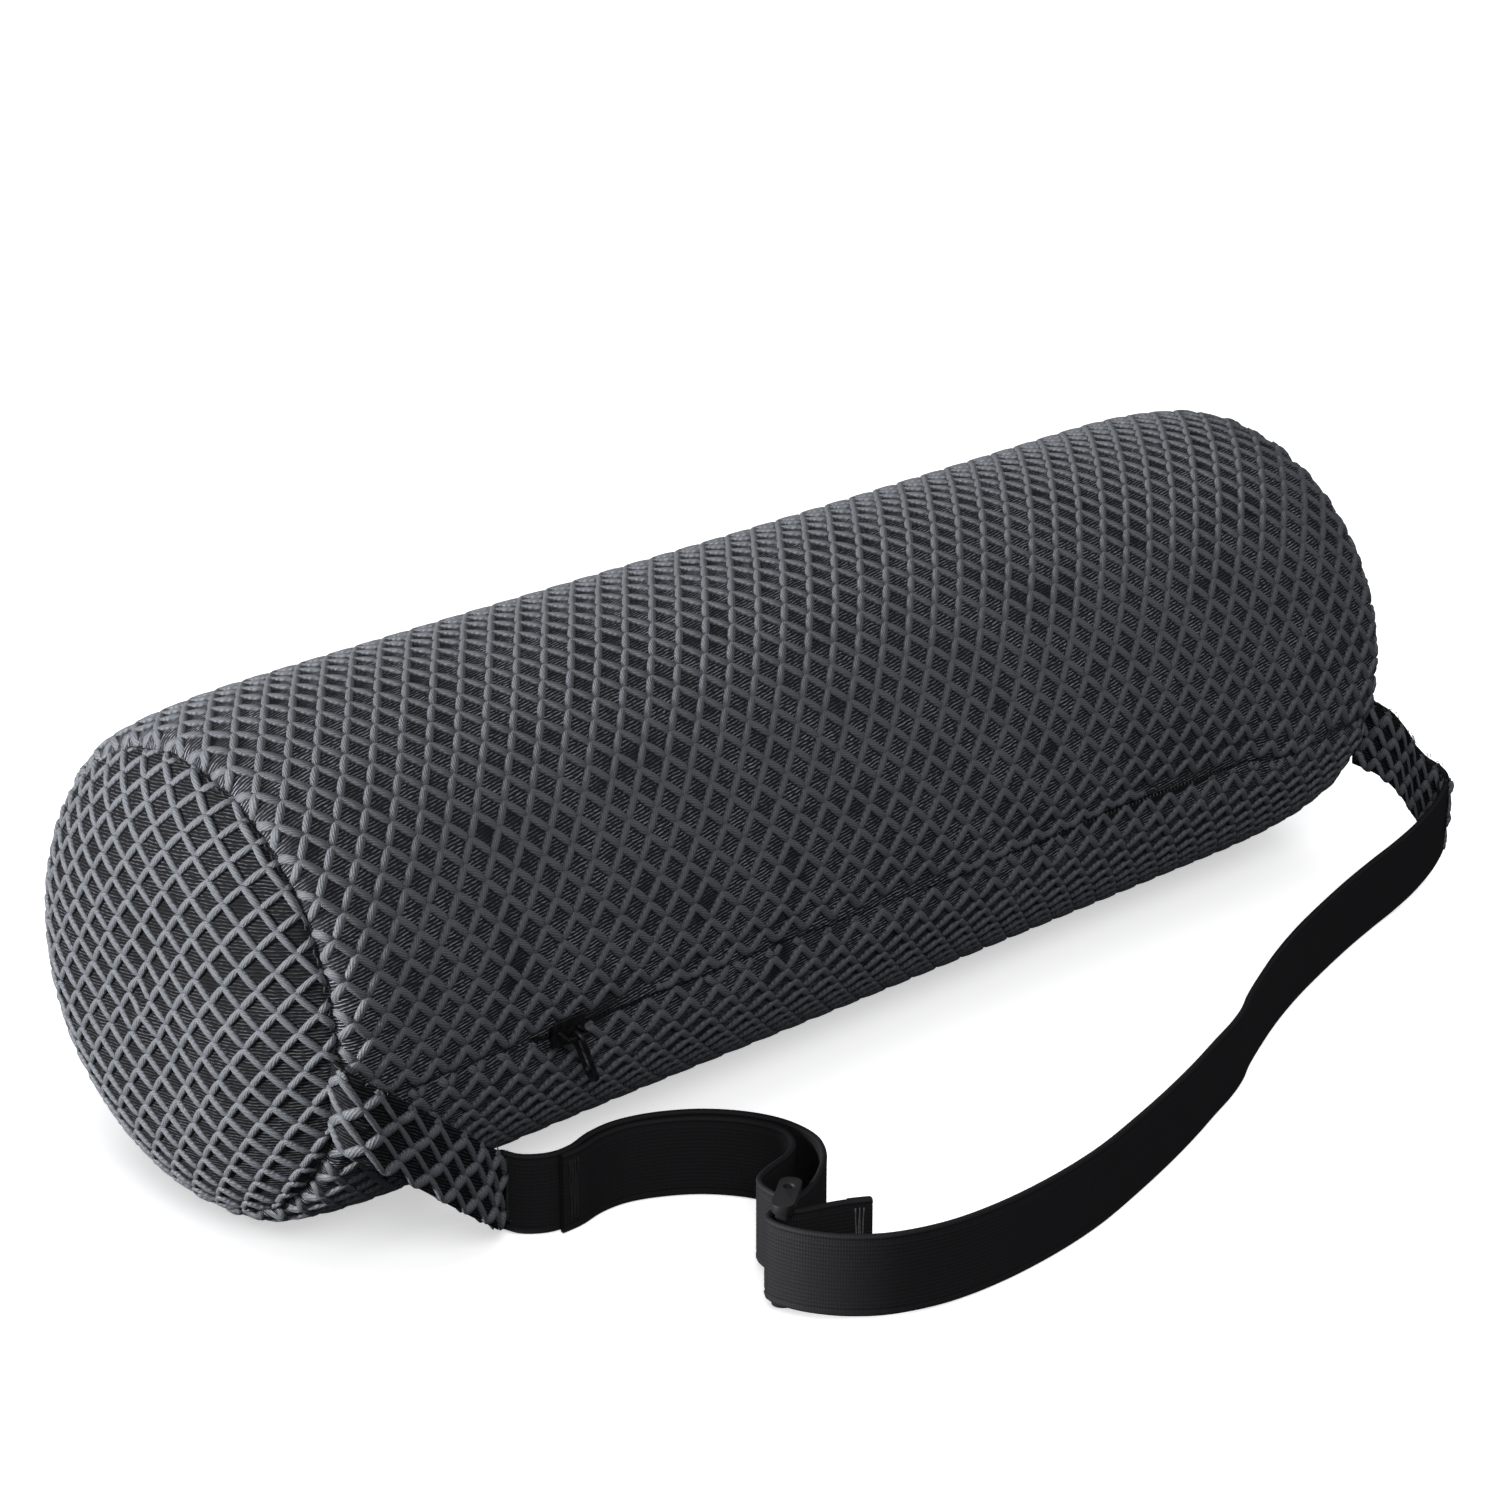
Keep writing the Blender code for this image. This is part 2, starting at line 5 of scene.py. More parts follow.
import bmesh
import bpy
import numpy as np
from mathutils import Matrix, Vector


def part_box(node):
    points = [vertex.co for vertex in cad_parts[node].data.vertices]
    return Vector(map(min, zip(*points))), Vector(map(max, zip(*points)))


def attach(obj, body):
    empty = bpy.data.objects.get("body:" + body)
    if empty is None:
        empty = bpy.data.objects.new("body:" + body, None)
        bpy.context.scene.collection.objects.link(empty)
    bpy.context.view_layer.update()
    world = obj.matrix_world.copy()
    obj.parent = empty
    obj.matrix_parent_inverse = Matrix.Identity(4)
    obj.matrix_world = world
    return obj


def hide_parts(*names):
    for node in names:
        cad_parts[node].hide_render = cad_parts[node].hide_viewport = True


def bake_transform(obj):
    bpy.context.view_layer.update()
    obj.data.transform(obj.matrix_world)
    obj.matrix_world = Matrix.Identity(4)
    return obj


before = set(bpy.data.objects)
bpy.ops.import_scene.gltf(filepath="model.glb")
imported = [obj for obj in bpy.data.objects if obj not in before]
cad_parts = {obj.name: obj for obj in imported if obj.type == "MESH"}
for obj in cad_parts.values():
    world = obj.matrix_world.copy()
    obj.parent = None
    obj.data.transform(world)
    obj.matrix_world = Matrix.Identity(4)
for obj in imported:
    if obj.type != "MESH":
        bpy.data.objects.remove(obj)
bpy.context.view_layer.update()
MM = 0.001

# ---- sizes read from the frame ----
PANEL_LOW, PANEL_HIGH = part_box("cover_panel")
CAP_LOW, CAP_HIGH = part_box("cap_right")
SLIDER_LOW, SLIDER_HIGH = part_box("zip_slider")
CHAIN_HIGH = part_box("zip_coil_upper")[1]
TAPE_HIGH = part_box("zip_tape_upper")[1]
ADJUSTER_LOW, ADJUSTER_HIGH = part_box("adjuster")

RADIUS = (PANEL_HIGH.y - PANEL_LOW.y) / 2
AXIS_Z = PANEL_HIGH.z - RADIUS
SEAM_X = (PANEL_HIGH.x + CAP_LOW.x) / 2
SEAM_RADIUS = (CAP_HIGH.y - CAP_LOW.y) / 2
DOME = CAP_HIGH.x - SEAM_X
DOME_POWER = 4.7             # how flat the end discs are in the middle
PINCH = 36 * MM              # the roll narrows over this length before each end seam
ZIP_ANGLE = radians(100)     # from straight up, over the front
SLIDER_X = (SLIDER_LOW.x + SLIDER_HIGH.x) / 2
ZIP_END = TAPE_HIGH.x
STRAP_WIDTH = 20 * MM

# ---- the cover's cloth ----
NET_LIFT = 1.0 * MM          # the netting stands this far above the cloth it is knitted to
CLOTH = 0.6 * MM
ALLOWANCE = 4 * MM           # turned in at each seam and lip
SEAM_GAP = 0.35 * MM         # from an end seam's plane to each of the cloths it joins
LIP_GAP = 0.15 * MM          # from the middle of the zip to each lip
LIP_ROUND = 0.9 * MM
FLOOR_CLEAR = 0.1 * MM
STRAND_INSET = 0.36 * MM     # a strand's middle stops this short of its row's edge

rng = np.random.default_rng(7)


# ---- meshes from arrays ----
def add_object(name, data):
    made = bpy.data.objects.new(name, data)
    bpy.context.scene.collection.objects.link(made)
    return made


def mesh_piece(name, points, faces, surface, uv=None, sharp=None):
    """A smooth piece with its normals outward. Edges over sharp degrees stay crisp."""
    mesh = bpy.data.meshes.new(name)
    mesh.from_pydata(np.asarray(points).tolist(), [], faces)
    mesh.materials.append(surface)
    solid = bmesh.new()
    solid.from_mesh(mesh)
    bmesh.ops.recalc_face_normals(solid, faces=solid.faces)
    solid.to_mesh(mesh)
    solid.free()
    if uv is not None:
        layer = mesh.uv_layers.new(name="cloth")
        loops = np.empty(len(mesh.loops), np.int32)
        mesh.loops.foreach_get("vertex_index", loops)
        layer.data.foreach_set("uv", np.asarray(uv, np.float32)[loops].ravel())
    mesh.shade_smooth()
    if sharp is not None:
        mesh.set_sharp_from_angle(angle=radians(sharp))
    return add_object(name, mesh)


def grid_faces(rows, columns, first=0, wrap_columns=False, flip=False):
    i, j = np.meshgrid(
        np.arange(rows - 1), np.arange(columns if wrap_columns else columns - 1), indexing="ij"
    )
    k, m = i + 1, (j + 1) % columns
    quads = np.stack(
        [i * columns + j, i * columns + m, k * columns + m, k * columns + j], -1
    ).reshape(-1, 4)
    if flip:
        quads = quads[:, ::-1]
    return (quads + first).tolist()


def loft_faces(rings, sides, first=0):
    """The faces that join a run of rings, with a cap at each end."""
    last = first + (rings - 1) * sides
    caps = [list(range(first + sides - 1, first - 1, -1)), list(range(last, last + sides))]
    return grid_faces(rings, sides, first, wrap_columns=True) + caps


def unit(vectors):
    return vectors / np.maximum(np.linalg.norm(vectors, axis=-1, keepdims=True), 1e-12)


def thick_sheet(name, grid, surface, uv):
    """A closed sheet: a grid of points, a second one behind it, and a wall round the border."""
    rows, columns, _ = grid.shape
    normal = unit(np.cross(np.gradient(grid, axis=0), np.gradient(grid, axis=1)))
    back = grid + normal * CLOTH
    points = np.concatenate([grid.reshape(-1, 3), back.reshape(-1, 3)])
    count = rows * columns
    faces = grid_faces(rows, columns, flip=True) + grid_faces(rows, columns, first=count)
    index = np.arange(count).reshape(rows, columns)
    rim = np.concatenate([index[0], index[1:, -1], index[-1, -2::-1], index[-2:0:-1, 0]])
    after = np.roll(rim, -1)
    faces += np.stack([after + count, rim + count, rim, after], -1).tolist()
    uv = uv.reshape(-1, 2)
    return mesh_piece(name, points, faces, surface, np.concatenate([uv, uv]), sharp=60)


def tubes(name, lines, radius, surface, sides=5):
    """Round threads along lists of points, as one piece."""
    turn = np.arange(sides) * 2 * pi / sides
    points, faces, first = [], [], 0
    for line in lines:
        along = unit(np.gradient(line, axis=0))
        side = [np.cross(along[0], (0.31, 0.52, 0.80))]
        for step in along:
            turned = side[-1] - step * np.dot(side[-1], step)
            side.append(turned / np.linalg.norm(turned))
        side = np.array(side[1:])
        other = np.cross(along, side)
        ring = side[:, None] * np.cos(turn)[:, None] + other[:, None] * np.sin(turn)[:, None]
        points.append((line[:, None] + radius * ring).reshape(-1, 3))
        faces += loft_faces(len(line), sides, first)
        first += len(line) * sides
    return mesh_piece(name, np.concatenate(points), faces, surface)


def apply_modifiers(piece):
    graph = bpy.context.evaluated_depsgraph_get()
    mesh = bpy.data.meshes.new_from_object(piece.evaluated_get(graph))
    piece.modifiers.clear()
    piece.data = mesh
    mesh.shade_smooth()
    mesh.set_sharp_from_angle(angle=radians(50))


def bevel_edges(piece, width, segments=2):
    modifier = piece.modifiers.new("edges", "BEVEL")
    modifier.width = width
    modifier.segments = segments
    modifier.limit_method = "ANGLE"
    modifier.angle_limit = radians(40)
    apply_modifiers(piece)


# ---- the shape of the roll ----
def meridian():
    """Arc length, x and radius along the cover from the middle to past the right seam."""
    turn = np.linspace(0, pi / 2, 80)
    x = np.concatenate([[0.0], SEAM_X - PINCH + PINCH * np.sin(turn)])
    r = np.concatenate([[RADIUS], SEAM_RADIUS + (RADIUS - SEAM_RADIUS) * np.cos(turn)])
    x, r = x - SEAM_GAP * (x > SEAM_X - 1 * MM), r - NET_LIFT
    arc = np.concatenate([[0], np.cumsum(np.hypot(np.diff(x), np.diff(r)))])
    seam = arc[-1]
    x = np.append(x, x[-1])
    r = np.append(r, r[-1] - ALLOWANCE)
    arc = np.append(arc, seam + ALLOWANCE)
    return arc, x, r, seam


ARC, ARC_X, ARC_R, SEAM_ARC = meridian()
ROUND = 2 * pi * RADIUS - 2 * LIP_GAP    # from lip to lip, over the top and back underneath


def smooth(value, low, high):
    t = np.clip((value - low) / (high - low), 0, 1)
    return t * t * (3 - 2 * t)


def near(distance, width):
    return np.exp(-((distance / width) ** 2))


def roll_point(s, t):
    """The cloth at arc s along the roll and t round it, from the zip's upper lip over the top."""
    a = np.abs(s)
    x = np.sign(s) * np.interp(a, ARC, ARC_X)
    r = np.interp(a, ARC, ARC_R)
    inside = np.clip(t, 0, ROUND)
    edge = np.minimum(inside, ROUND - inside)
    upper = inside < ROUND / 2
    # The upper lip lies over the lower one and hides the zip; both spread beside the slider.
    # Past the ends of the zip the two edges are sewn together.
    zipped = 1 - smooth(np.abs(x), ZIP_END, ZIP_END + 6 * MM)
    opened = 0.7 * MM * near(x - (SLIDER_X + 2.5 * MM), 5.5 * MM)
    overhang = (np.where(upper, -0.75, -0.05) - 0.5 * (1 - zipped)) * MM
    shift = (opened + overhang) * near(edge, 5 * MM)
    wander = 0.55 * MM * np.sin(x / (17 * MM) + 0.6) + 0.25 * MM * np.sin(x / (6.3 * MM))
    droop = 2.8 * MM * smooth(x, ZIP_END - 6 * MM, ZIP_END + 16 * MM)
    shift = shift - (wander + droop) * np.where(upper, 1, -1) * near(edge, 14 * MM)
    angle = ZIP_ANGLE - (LIP_GAP + inside + np.where(upper, shift, -shift)) / RADIUS
    # The cloth dips along the zip so that the slider runs clear of it.
    channel = 0.95 * MM * (1 - smooth(edge, 4.0 * MM, 9.0 * MM)) * zipped
    groove = 0.7 * MM * near(edge, 2.0 * MM) * (1 - zipped)
    lip = np.where(upper, 0.35, -0.55) * MM * near(edge, 2.6 * MM)
    rounding = np.clip(1 - edge / LIP_ROUND, 0, 1)
    lip = lip - LIP_ROUND * 0.5 * (1 - np.sqrt(np.maximum(0, 1 - rounding**2)))
    stitched = (
        0.30 * MM * np.sin(s / (1.9 * MM) + np.where(upper, 0, 1.7))
        * near(edge, 3.5 * MM) * (1 - 0.7 * zipped)
    )
    # Soft, uneven stuffing, and puckers that run in from the end seams.
    loose = 0.35 * MM * np.sin(s / (27 * MM) + 1.3 * np.sin(2 * angle + 0.5))
    loose = loose * np.sin(2 * angle + 0.9) + 0.22 * MM * np.sin(5 * angle + s / (41 * MM))
    to_seam = np.abs(SEAM_ARC - a)
    pucker = -0.42 * MM * np.exp(-to_seam / (6 * MM)) * (
        1 + np.sin(34 * angle + 2 * np.sin(7 * angle + np.sign(s)))
    )
    seam = -1.9 * MM * near(to_seam, 2.0 * MM)
    r = r + loose * smooth(to_seam, 0, 30 * MM) + pucker + seam
    r = r - channel - groove + lip + stitched - np.maximum(0, np.abs(t - ROUND / 2) - ROUND / 2)
    return np.stack([x, -r * np.sin(angle), AXIS_Z + r * np.cos(angle)], -1)


def lifted(surface, s, t, lift):
    """Points this far above a surface that is given as a function of two cloth coordinates."""
    step = 0.2 * MM
    at = surface(s, t)
    along = surface(s + step, t) - surface(s - step, t)
    across = surface(s, t + step) - surface(s, t - step)
    return at + unit(np.cross(along, across)) * lift[..., None]


def settle(points, lift):
    """Where the roll rests, its cloth and its netting are pressed flat together."""
    points[..., 2] = np.maximum(points[..., 2], FLOOR_CLEAR + 0.6 * (NET_LIFT - lift))
    return points


def on_roll(s, t, lift):
    lift = lift * (0.2 + 0.8 * smooth(SEAM_ARC - np.abs(s), 0.2 * MM, 3.2 * MM))
    return settle(lifted(roll_point, s, t, lift), lift)


def dome_arc():
    """Arc length from the middle of an end disc, against radius."""
    radius = np.linspace(0, SEAM_RADIUS - NET_LIFT, 200)
    q = radius / radius[-1]
    x = SEAM_X + DOME * (1 - q**DOME_POWER) - NET_LIFT
    arc = np.concatenate([[0], np.cumsum(np.hypot(np.diff(radius), np.diff(x)))])
    rim = arc[-1]
    inmost = SEAM_X + SEAM_GAP
    return (
        np.append(arc, rim + ALLOWANCE),
        np.append(radius, radius[-1] - ALLOWANCE),
        np.append(np.maximum(x, inmost), inmost),
        rim,
    )


DISC_ARC, DISC_R, DISC_X, DISC_RIM = dome_arc()


def disc_point(side):
    """The cloth of an end disc: u and v are flat cloth coordinates from its middle, v up."""

    def at(u, v):
        arc = np.hypot(u, v)
        radius = np.interp(arc, DISC_ARC, DISC_R)
        x = np.interp(arc, DISC_ARC, DISC_X)
        share = radius / np.maximum(arc, 1e-9)
        angle = np.arctan2(v, u)
        to_rim = np.abs(DISC_RIM - arc)
        share = share - 0.9 * MM / SEAM_RADIUS * near(to_rim, 1.8 * MM)
        wave = 0.35 * MM * np.sin(3 * angle + arc / (13 * MM)) * smooth(to_rim, 0, 25 * MM)
        wave = wave - 0.35 * MM * np.exp(-to_rim / (5 * MM)) * (
            1 + np.sin(29 * angle + 2 * np.sin(5 * angle))
        )
        wave = wave - 1.0 * MM * near(to_rim, 1.8 * MM)
        return np.stack([side * (x + wave), side * u * share, AXIS_Z + v * share], -1)

    return at


def on_disc(side):
    place = disc_point(side)

    def put(u, v, lift):
        lift = lift * (0.2 + 0.8 * smooth(DISC_RIM - np.hypot(u, v), 0.2 * MM, 3.0 * MM))
        return settle(lifted(place, u, v, lift), lift)

    return put


# ---- the netting ----
# A strand's section, as shares of its half width and its height.
SECTION = ((-1.0, -0.18), (-0.84, 0.78), (0.0, 1.0), (0.84, 0.78), (1.0, -0.18))
STRAND_HALF_WIDTH = 1.02 * MM
# Where each zigzag is sampled, as shares of its length: closer together where it turns.
BENDS = (0, 0.045, 0.11, 0.25, 0.39, 0.455, 0.5, 0.545, 0.61, 0.75, 0.89, 0.955)
ROWS_ROUND = 77              # zigzag rows round the roll, each half a diamond from the next
DISC_CELL = 9.0 * MM         # an end disc's diamonds, from corner to corner
TAB_CELL_UP = 9.2 * MM       # a tab's diamonds, up the tab


def zigzag(phase, reach):
    """A wave that peaks at whole phases, with straight flanks and rounded turns."""
    soft = 0.95
    return reach * np.arcsin(soft * np.cos(2 * pi * phase)) / np.arcsin(soft)


def flank(phase):
    """0 where two strands meet and are knitted together, 1 half way between."""
    return np.abs(np.sin(2 * pi * phase)) ** 0.8


def crest(phase):
    """A strand is full between its knots. At its peak it lies over its neighbour's foot."""
    foot = phase % 1 - 0.5
    dive = 1 - 0.7 * near(foot, 0.075)
    return NET_LIFT * (0.92 + 0.12 * flank(phase) + 0.10 * np.cos(2 * pi * phase)) * dive


def breadth(phase):
    return 0.82 + 0.18 * flank(phase)


def sunk_ends(height):
    """Strands sink into the cloth where they are cut off."""
    count = len(height)
    k = np.arange(count)
    return height * (
        np.clip((k + 0.6) / 2, 0.15, 1) * np.clip((count - 0.4 - k) / 2, 0.15, 1)
    )


def phases(first, last):
    """Samples of the zigzags from one whole phase up to another."""
    return (np.arange(first, last)[:, None] + np.array(BENDS)).ravel()


def strands(a, b, phase, keep):
    """A row's runs of (a, b, height, width) samples, cut where keep is false."""
    height, width = crest(phase), breadth(phase)
    runs, start = [], None
    for k, kept in enumerate(np.append(keep, False)):
        if kept and start is None:
            start = k
        elif not kept and start is not None:
            if k - start > 3:
                run = slice(start, k)
                runs.append((a[run], b[run], sunk_ends(height[run]), width[run]))
            start = None
    return runs


def netting(name, runs, place, surface, half_width=STRAND_HALF_WIDTH):
    """Strands swept along runs of (a, b, height, width) samples in cloth coordinates."""
    wide = np.array([w for w, _ in SECTION]) * half_width
    high = np.array([h for _, h in SECTION])
    sides = len(SECTION)
    points, uvs, faces, first = [], [], [], 0
    for a, b, height, broad in runs:
        da, db = np.gradient(a), np.gradient(b)
        size = np.maximum(np.hypot(da, db), 1e-12)
        swell = broad * (1 + 0.07 * np.sin(np.cumsum(size) / (1.9 * MM) + first))
        off = wide[None, :] * swell[:, None]
        grid_a = a[:, None] - (db / size)[:, None] * off
        grid_b = b[:, None] + (da / size)[:, None] * off
        lift = height[:, None] * high[None, :]
        points.append(place(grid_a.ravel(), grid_b.ravel(), lift.ravel()))
        along = np.repeat(np.cumsum(size)[:, None] / MM + first, sides, axis=1)
        uvs.append(np.stack([along, np.broadcast_to(wide / MM, along.shape)], -1).reshape(-1, 2))
        faces += loft_faces(len(a), sides, first)
        first += len(a) * sides
    return mesh_piece(name, np.concatenate(points), faces, surface, np.concatenate(uvs))


def roll_rows():
    """The strands of the body's netting, each with how far round the roll it lies."""
    pitch = ROUND / ROWS_ROUND
    samples = np.linspace(-SEAM_ARC, SEAM_ARC, 400)

    def share(s):
        return np.clip((s + SEAM_ARC) / (2 * SEAM_ARC), 0, 1)

    # The cells are widest towards the middle, and the rows rise over it.
    cell = (7.6 + 1.05 * np.sin(pi * share(samples) ** 0.85)) * MM
    phase_at = np.concatenate([[0], np.cumsum(np.diff(samples) / cell[:-1])])
    phase = phases(-1, ceil(phase_at[-1]) + 1)
    rows = []
    for k in range(-3, ROWS_ROUND + 1):
        s = np.interp(phase + 0.5 * (k % 2), phase_at, samples, left=-1, right=1)
        middle = (k + 0.5) * pitch + 9.0 * MM * np.sin(pi * share(s) ** 1.5)
        drift = 0.12 * MM * np.sin(k * 1.7 + s / (19 * MM))
        t = middle + zigzag(phase, pitch * 0.5 - STRAND_INSET) + drift
        # The row that meets the zip's upper lip follows its fold.
        fold, soft = 1.45 * MM, 0.5 * MM
        t = fold + soft * np.logaddexp(0, (t - fold) / soft)
        keep = (np.abs(s) < SEAM_ARC - 0.35 * MM) & (middle > 1.0 * MM) & (t < ROUND - 1.15 * MM)
        rows += [(float(run[1].mean()), run) for run in strands(s, t, phase, keep)]
    return rows


def disc_rows(turn):
    """The strands across an end disc, turned in its plane."""
    last = ceil(DISC_RIM / DISC_CELL) + 1
    count = ceil(2 * DISC_RIM / DISC_CELL) + 2
    phase = phases(-last, last + 1)
    rows = []
    for k in range(-count, count + 1):
        u = (phase + 0.5 * (k % 2)) * DISC_CELL
        v = (k + 0.5) * DISC_CELL / 2 + zigzag(phase, DISC_CELL / 4 - STRAND_INSET)
        v = v + 0.10 * MM * np.sin(k * 2.3 + u / (11 * MM))
        v = v + 0.9 * MM * np.sin(u / (40 * MM) + 0.5)
        a = u * cos(turn) - v * sin(turn)
        b = u * sin(turn) + v * cos(turn)
        rows += strands(a, b, phase, np.hypot(a, b) < DISC_RIM - 0.5 * MM)
    return rows


# ---- materials ----
class Shader:
    """A node material built around one Principled shader."""

    def __init__(self, name, roughness, **constants):
        self.material = bpy.data.materials.new(name)
        self.material.use_nodes = True
        self.tree = self.material.node_tree
        self.shader = self.tree.nodes["Principled BSDF"]
        self.shader.inputs["Roughness"].default_value = roughness
        for key, value in constants.items():
            self.shader.inputs[key.replace("_", " ")].default_value = value

    def put(self, value, socket):
        """A number, a vector, a colour or another node's output goes into a socket."""
        if isinstance(value, bpy.types.NodeSocket):
            self.tree.links.new(value, socket)
        else:
            socket.default_value = (*value, 1) if socket.type == "RGBA" else value

    def node(self, kind, sources, output, **settings):
        made = self.tree.nodes.new(f"ShaderNode{kind}")
        for key, value in settings.items():
            setattr(made, key, value)
        for socket, value in sources.items():
            self.put(value, made.inputs[socket])
        return made.outputs[output]

    def world(self):
        """Metres in the object's frame."""
        return self.node("TexCoord", {}, "Object")

    def cloth(self):
        """Millimetres along and across a piece's own cloth."""
        return self.node("UVMap", {}, "UV", uv_map="cloth")

    def mapped(self, vector, scale=(1, 1, 1), turn=0.0):
        sources = {"Vector": vector, "Scale": scale, "Rotation": (0, 0, turn)}
        return self.node("Mapping", sources, "Vector")

    def noise(self, vector, scale, detail=3.0, roughness=0.6):
        sources = {"Vector": vector, "Scale": scale, "Detail": detail, "Roughness": roughness}
        return self.node("TexNoise", sources, "Fac")

    def wave(self, vector, pitch, distortion=0.0, detail=0.0, direction="X"):
        """Bands this far apart, in the units of the vector."""
        sources = {"Vector": vector, "Distortion": distortion, "Detail": detail}
        sources["Scale"] = 2 * pi / 20 / pitch
        return self.node("TexWave", sources, "Fac", bands_direction=direction)

    def ramp(self, factor, stops):
        made = self.tree.nodes.new("ShaderNodeValToRGB")
        elements = made.color_ramp.elements
        while len(elements) < len(stops):
            elements.new(0.5)
        for element, (place, colour) in zip(elements, stops):
            element.position = place
            element.color = (*colour, 1)
        self.put(factor, made.inputs["Fac"])
        return made.outputs["Color"]

    def mix(self, factor, first, second):
        return self.node("Mix", {0: factor, 6: first, 7: second}, 2, data_type="RGBA")

    def maths(self, operation, first, second):
        return self.node("Math", {0: first, 1: second}, 0, operation=operation)

    def colour(self, source):
        self.put(source, self.shader.inputs["Base Color"])

    def roughness(self, source, low, high):
        sources = {"Value": source, "To Min": low, "To Max": high}
        self.put(self.node("MapRange", sources, "Result"), self.shader.inputs["Roughness"])

    def bump(self, height, depth):
        """Height from 0 to 1, this many metres deep."""
        sources = {"Height": height, "Distance": depth}
        self.put(self.node("Bump", sources, "Normal"), self.shader.inputs["Normal"])


def yarn_material():
    m = Shader(
        "netting_yarn", 0.55, Specular_IOR_Level=0.34, Sheen_Weight=0.03, Sheen_Roughness=0.45
    )
    cloth, world = m.cloth(), m.world()
    fibres = m.noise(m.mapped(cloth, scale=(1.1, 7.0, 1)), 1.0, 3.0, 0.65)
    ply = m.wave(m.mapped(cloth, turn=radians(64)), 0.55, distortion=2.5, detail=1.0)
    fuzz = m.noise(world, 3000, 2.0, 0.7)
    tone = m.noise(world, 42, 2.0)
    shade = m.maths("ADD", m.maths("MULTIPLY", ply, 0.25), m.maths("MULTIPLY", fuzz, 0.3))
    shade = m.maths("ADD", shade, m.maths("MULTIPLY", fibres, 0.45))
    thread = m.ramp(shade, ((0.30, (0.044, 0.047, 0.053)), (0.70, (0.142, 0.151, 0.167))))
    m.colour(m.mix(m.maths("MULTIPLY", tone, 0.3), thread, (0.058, 0.062, 0.070)))
    m.roughness(fuzz, 0.45, 0.72)
    m.bump(shade, 0.32 * MM)
    return m.material


def twill_material(name, tone, fleck_and_sheen):
    """Black cloth with broken pale twill lines, in patches. The pale flecks are partly the twill's
    own pattern and partly painted sheen.
    """
    m = Shader(name, 0.85, Specular_IOR_Level=0.07)
    cloth, world = m.cloth(), m.world()
    turned = m.mapped(cloth, turn=radians(-9))
    rib = m.wave(turned, 0.80, distortion=2.6, detail=2.0, direction="Y")
    dashes = m.noise(m.mapped(cloth, scale=(0.75, 2.6, 1), turn=radians(-9)), 1.0, 1.0, 0.5)
    patch = m.noise(world, 75, 2.0)
    lit = m.maths("MULTIPLY", rib, m.maths("MULTIPLY", dashes, 1.7))
    bluish = (1.0, 1.03, 1.16)
    # The flecks' brightness is painted sheen as well as the lighter yarn of the twill.
    shades = (0.30, 0.75 * tone), (0.66, 0.20 * fleck_and_sheen), (0.94, fleck_and_sheen)
    flecks_and_sheen = m.ramp(lit, [(place, tuple(k * c for c in bluish)) for place, k in shades])
    strong = m.ramp(patch, ((0.26, (0, 0, 0)), (0.60, (1, 1, 1))))
    plain = tuple(tone * c for c in bluish)
    m.colour(m.mix(m.maths("MULTIPLY", strong, 0.85), plain, flecks_and_sheen))
    m.roughness(dashes, 0.6, 0.95)
    m.bump(m.maths("MULTIPLY", rib, dashes), 0.45 * MM)
    return m.material


def elastic_material():
    m = Shader("woven_elastic", 0.7, Specular_IOR_Level=0.10)
    cloth, world = m.cloth(), m.world()
    rib = m.wave(cloth, 0.95, distortion=0.3, detail=1.0, direction="Y")
    pick = m.wave(cloth, 0.62, distortion=0.8, detail=1.0, direction="X")
    fuzz = m.noise(world, 2300, 3.0, 0.7)
    patch = m.noise(m.mapped(cloth, scale=(0.03, 0.08, 1)), 1.0, 2.0)
    weave = m.maths("ADD", m.maths("MULTIPLY", rib, 0.25), m.maths("MULTIPLY", pick, 0.27))
    weave = m.maths("ADD", weave, m.maths("MULTIPLY", fuzz, 0.5))
    dark = m.ramp(weave, ((0.25, (0.0095, 0.0095, 0.0105)), (0.80, (0.0158, 0.0158, 0.0174))))
    pale = m.ramp(weave, ((0.45, (0.0100, 0.0100, 0.0110)), (0.86, (0.0230, 0.0230, 0.0252))))
    m.colour(m.mix(m.ramp(patch, ((0.42, (0, 0, 0)), (0.68, (1, 1, 1)))), dark, pale))
    m.roughness(weave, 0.55, 0.8)
    m.bump(weave, 0.10 * MM)
    return m.material


def plastic_material(name, base, grain, roughness):
    m = Shader(name, roughness, Specular_IOR_Level=0.5)
    world = m.world()
    fine, broad = m.noise(world, 1900, 2.0), m.noise(world, 140)
    lighter = tuple(min(1.0, c * 1.8 + 0.002) for c in base)
    m.colour(m.mix(m.maths("MULTIPLY", broad, 0.6), base, lighter))
    m.roughness(broad, roughness - 0.08, roughness + 0.12)
    m.bump(fine, grain)
    return m.material


def metal_material():
    m = Shader("black_zip_metal", 0.32, Metallic=0.35, Specular_IOR_Level=0.5)
    world = m.world()
    wear, fine = m.noise(world, 420, 4.0, 0.65), m.noise(world, 2500, 2.0)
    m.colour(m.ramp(wear, ((0.45, (0.006, 0.006, 0.007)), (0.85, (0.026, 0.026, 0.028)))))
    m.roughness(wear, 0.24, 0.48)
    m.bump(fine, 0.02 * MM)
    return m.material


def tape_material():
    m = Shader("zip_tape_weave", 0.85, Specular_IOR_Level=0.25)
    world = m.world()
    warp = m.wave(world, 0.9 * MM, direction="X")
    weft = m.wave(world, 0.5 * MM, direction="Z")
    weave = m.maths("MULTIPLY", warp, weft)
    m.colour(m.ramp(weave, ((0.1, (0.004, 0.004, 0.0045)), (0.9, (0.016, 0.016, 0.018)))))
    m.bump(weave, 0.10 * MM)
    return m.material


